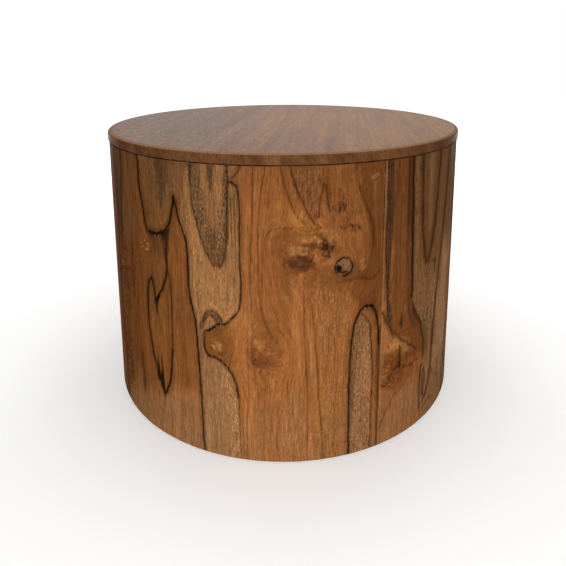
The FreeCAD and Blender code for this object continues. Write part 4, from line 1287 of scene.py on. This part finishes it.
def ring_plywood():
    """Plywood: face grain on its flats, and thin plies of alternate grain on its edges."""
    n = Nodes("ring_plywood")
    x, y, z = n.split(n.place())
    ply = n.math("ABSOLUTE", n.math("FRACT", z / PLY_PAIR) - 0.5)
    edge = n.mixed(n.rise(ply, 0.22, 0.28), *PLY_TONES)
    face = n.mixed(n.rise(n.grain(y, x, PLY_FACE_GRAIN), *NOISE_CORE), *PLY_FACE_TONES)
    upward = n.split(n.signal("NewGeometry", output="Normal"))[2]
    colour = n.mixed(n.rise(n.math("ABSOLUTE", upward), 0.6, 0.8), edge, face)
    fine = n.cells(2 * MM, 1 * MM)
    return n.finish(n.varied(colour, (fine, PLY_CONTRAST)), fine, fine)


def fibreboard():
    """Pressed fibres with a faint speckle."""
    n = Nodes("fibreboard")
    coarse = n.cells(6 * MM, 6 * MM, 3.0, 0.6)
    fine = n.cells(0.8 * MM, 0.8 * MM, 1.0)
    colour = n.mixed(n.rise(coarse, *NOISE_CORE), *BOARD_TONES)
    return n.finish(n.varied(colour, (fine, FAINT_CONTRAST)), fine, fine)


def zinc_steel():
    """Zinc-plated steel with fine turning marks and a cloudy passivation."""
    n = Nodes("zinc_steel")
    cloud = n.cells(5 * MM, 5 * MM, 3.0, 0.6)
    turning = n.cells(3 * MM, 0.3 * MM, 1.0)
    n.coat({"Metallic": 1.0})
    return n.finish(n.mixed(cloud, *ZINC_TONES), cloud, turning)


def nylon():
    """Black moulded nylon with a fine sparked texture."""
    n = Nodes("nylon")
    grain = n.cells(0.5 * MM, 0.5 * MM)
    patch = n.cells(9 * MM, 9 * MM)
    return n.finish(n.mixed(patch, *NYLON_TONES), grain, grain)


def dress_frame():
    """Gives every piece its finish, slot by slot, and makes the pieces that replace CAD nodes."""
    finishes = {
        "teak_face": teak_face(),
        "teak_lipping": teak_lipping(),
        "teak_side": teak_side(),
        "fibreboard": fibreboard(),
        "ring_plywood": ring_plywood(),
        "zinc_steel": zinc_steel(),
        "nylon": nylon(),
    }
    for name in PLAIN_WOODS:
        finishes[name] = plain_wood(name)
    for part in frame["record"]["subparts"]:
        for holder in frame["nodes"][part["node"]].material_slots:
            holder.material = finishes[part["material_slot"]]
    for side in LEAVES:
        side_leaf(side, finishes["teak_side"])
    lipping(finishes["teak_lipping"])


# Camera of the photograph: picture side in pixels, focal length in pixels, place, pitch and roll
PICTURE_SIDE = 566
FOCAL_PIXELS = 544.97
SENSOR_WIDTH = 36.0
CAMERA_PLACE = (0.0, -0.98502, 0.58393)
CAMERA_PITCH = 0.1867
CAMERA_ROLL = -0.0051
CAMERA_SHIFT = -0.235


def add_camera():
    """A camera at the photograph's viewing angle."""
    data = bpy.data.cameras.new("camera")
    data.sensor_width = SENSOR_WIDTH
    data.lens = FOCAL_PIXELS / PICTURE_SIDE * SENSOR_WIDTH
    data.shift_y = CAMERA_SHIFT
    camera = add_object("camera", data)
    tilt = Matrix.Rotation(math.pi / 2 - CAMERA_PITCH, 4, "X")
    camera.matrix_world = Matrix.Translation(CAMERA_PLACE) @ tilt @ Matrix.Rotation(CAMERA_ROLL, 4, "Z")
    bpy.context.scene.camera = camera


# Soft lights: place, target, width, height, power in watts, and spread of the beam in degrees
Light = namedtuple("Light", "place target width height power spread")
LIGHTS = {
    "overhead": Light((0.0, 0.0, 2.6), (0.0, 0.0, 0.4), 1.8, 1.8, 26.0, 180.0),
    "front": Light((-0.1, -2.7, 0.5), (0.04, -0.3, 0.03), 0.5, 0.5, 4.6, 48.0),
    "back_right": Light((1.35, 2.34, 0.22), (0.15, 0.26, 0.18), 1.8, 0.4, 4.0, 50.0),
    "back_left": Light((-1.35, 2.34, 0.22), (-0.15, 0.26, 0.18), 1.8, 0.4, 4.0, 50.0),
    "back": Light((0.0, 2.6, 1.25), (0.0, 0.0, 0.5), 3.0, 1.4, 14.0, 180.0),
}
ROOM_LIGHT = 0.12
FLOOR_SIDE = 12.0
FLOOR_TONES = ((236, 236, 236), (232, 232, 232))
FLOOR_ROUGHNESS = 0.9
FLOOR_GLOSS = 0.1
FLOOR_LIFT = (0.35, 1.0)
FLOOR_WHITE_FROM = 2.0


def add_light(name, light):
    """A soft light that faces its target and doesn't show itself."""
    data = bpy.data.lights.new(name, "AREA")
    data.shape = "RECTANGLE"
    data.size = light.width
    data.size_y = light.height
    data.energy = light.power
    data.spread = math.radians(light.spread)
    lamp = add_object(name, data)
    lamp.location = light.place
    lamp.rotation_euler = (Vector(light.target) - lamp.location).to_track_quat("-Z", "Y").to_euler()
    lamp.visible_camera = False


def floor_finish():
    """A pale floor that the camera sees nearly white, more so away from the table."""
    n = Nodes("floor")
    lift = n.signal("MapRange", n.length(n.place()), TOP_RADIUS, FLOOR_WHITE_FROM, *FLOOR_LIFT)
    n.coat({
        "Base Color": n.mixed(n.noise(n.place()), *FLOOR_TONES),
        "Roughness": FLOOR_ROUGHNESS,
        "Specular IOR Level": FLOOR_GLOSS,
        "Emission Color": WHITE,
        "Emission Strength": n.signal("LightPath", output="Is Camera Ray") * lift,
    })
    return n.material


def add_floor():
    """The floor under the table."""
    half = FLOOR_SIDE / 2
    corners = [(-half, -half, 0), (half, -half, 0), (half, half, 0), (-half, half, 0)]
    mesh = new_mesh("floor", corners, [(0, 1, 2, 3)])
    mesh.materials.append(floor_finish())
    floor = add_object("floor", mesh)


def add_room():
    """A dim even room that the camera sees as a white background."""
    world = bpy.data.worlds.new("studio")
    bpy.context.scene.world = world
    world.use_nodes = True
    tree = world.node_tree
    lit = tree.nodes["Background"]
    lit.inputs["Strength"].default_value = ROOM_LIGHT
    lit.inputs["Color"].default_value = WHITE
    seen = tree.nodes.new("ShaderNodeBackground")
    seen.inputs["Color"].default_value = WHITE
    choice = tree.nodes.new("ShaderNodeMixShader")
    path = tree.nodes.new("ShaderNodeLightPath")
    tree.links.new(path.outputs["Is Camera Ray"], choice.inputs[0])
    tree.links.new(lit.outputs[0], choice.inputs[1])
    tree.links.new(seen.outputs[0], choice.inputs[2])
    tree.links.new(choice.outputs[0], tree.nodes["World Output"].inputs["Surface"])


def add_studio():
    """The floor, the room and the soft lights."""
    add_floor()
    add_room()
    for name, light in LIGHTS.items():
        add_light(name, light)
    bpy.context.scene.view_settings.view_transform = "Standard"


dress_frame()
add_camera()
add_studio()
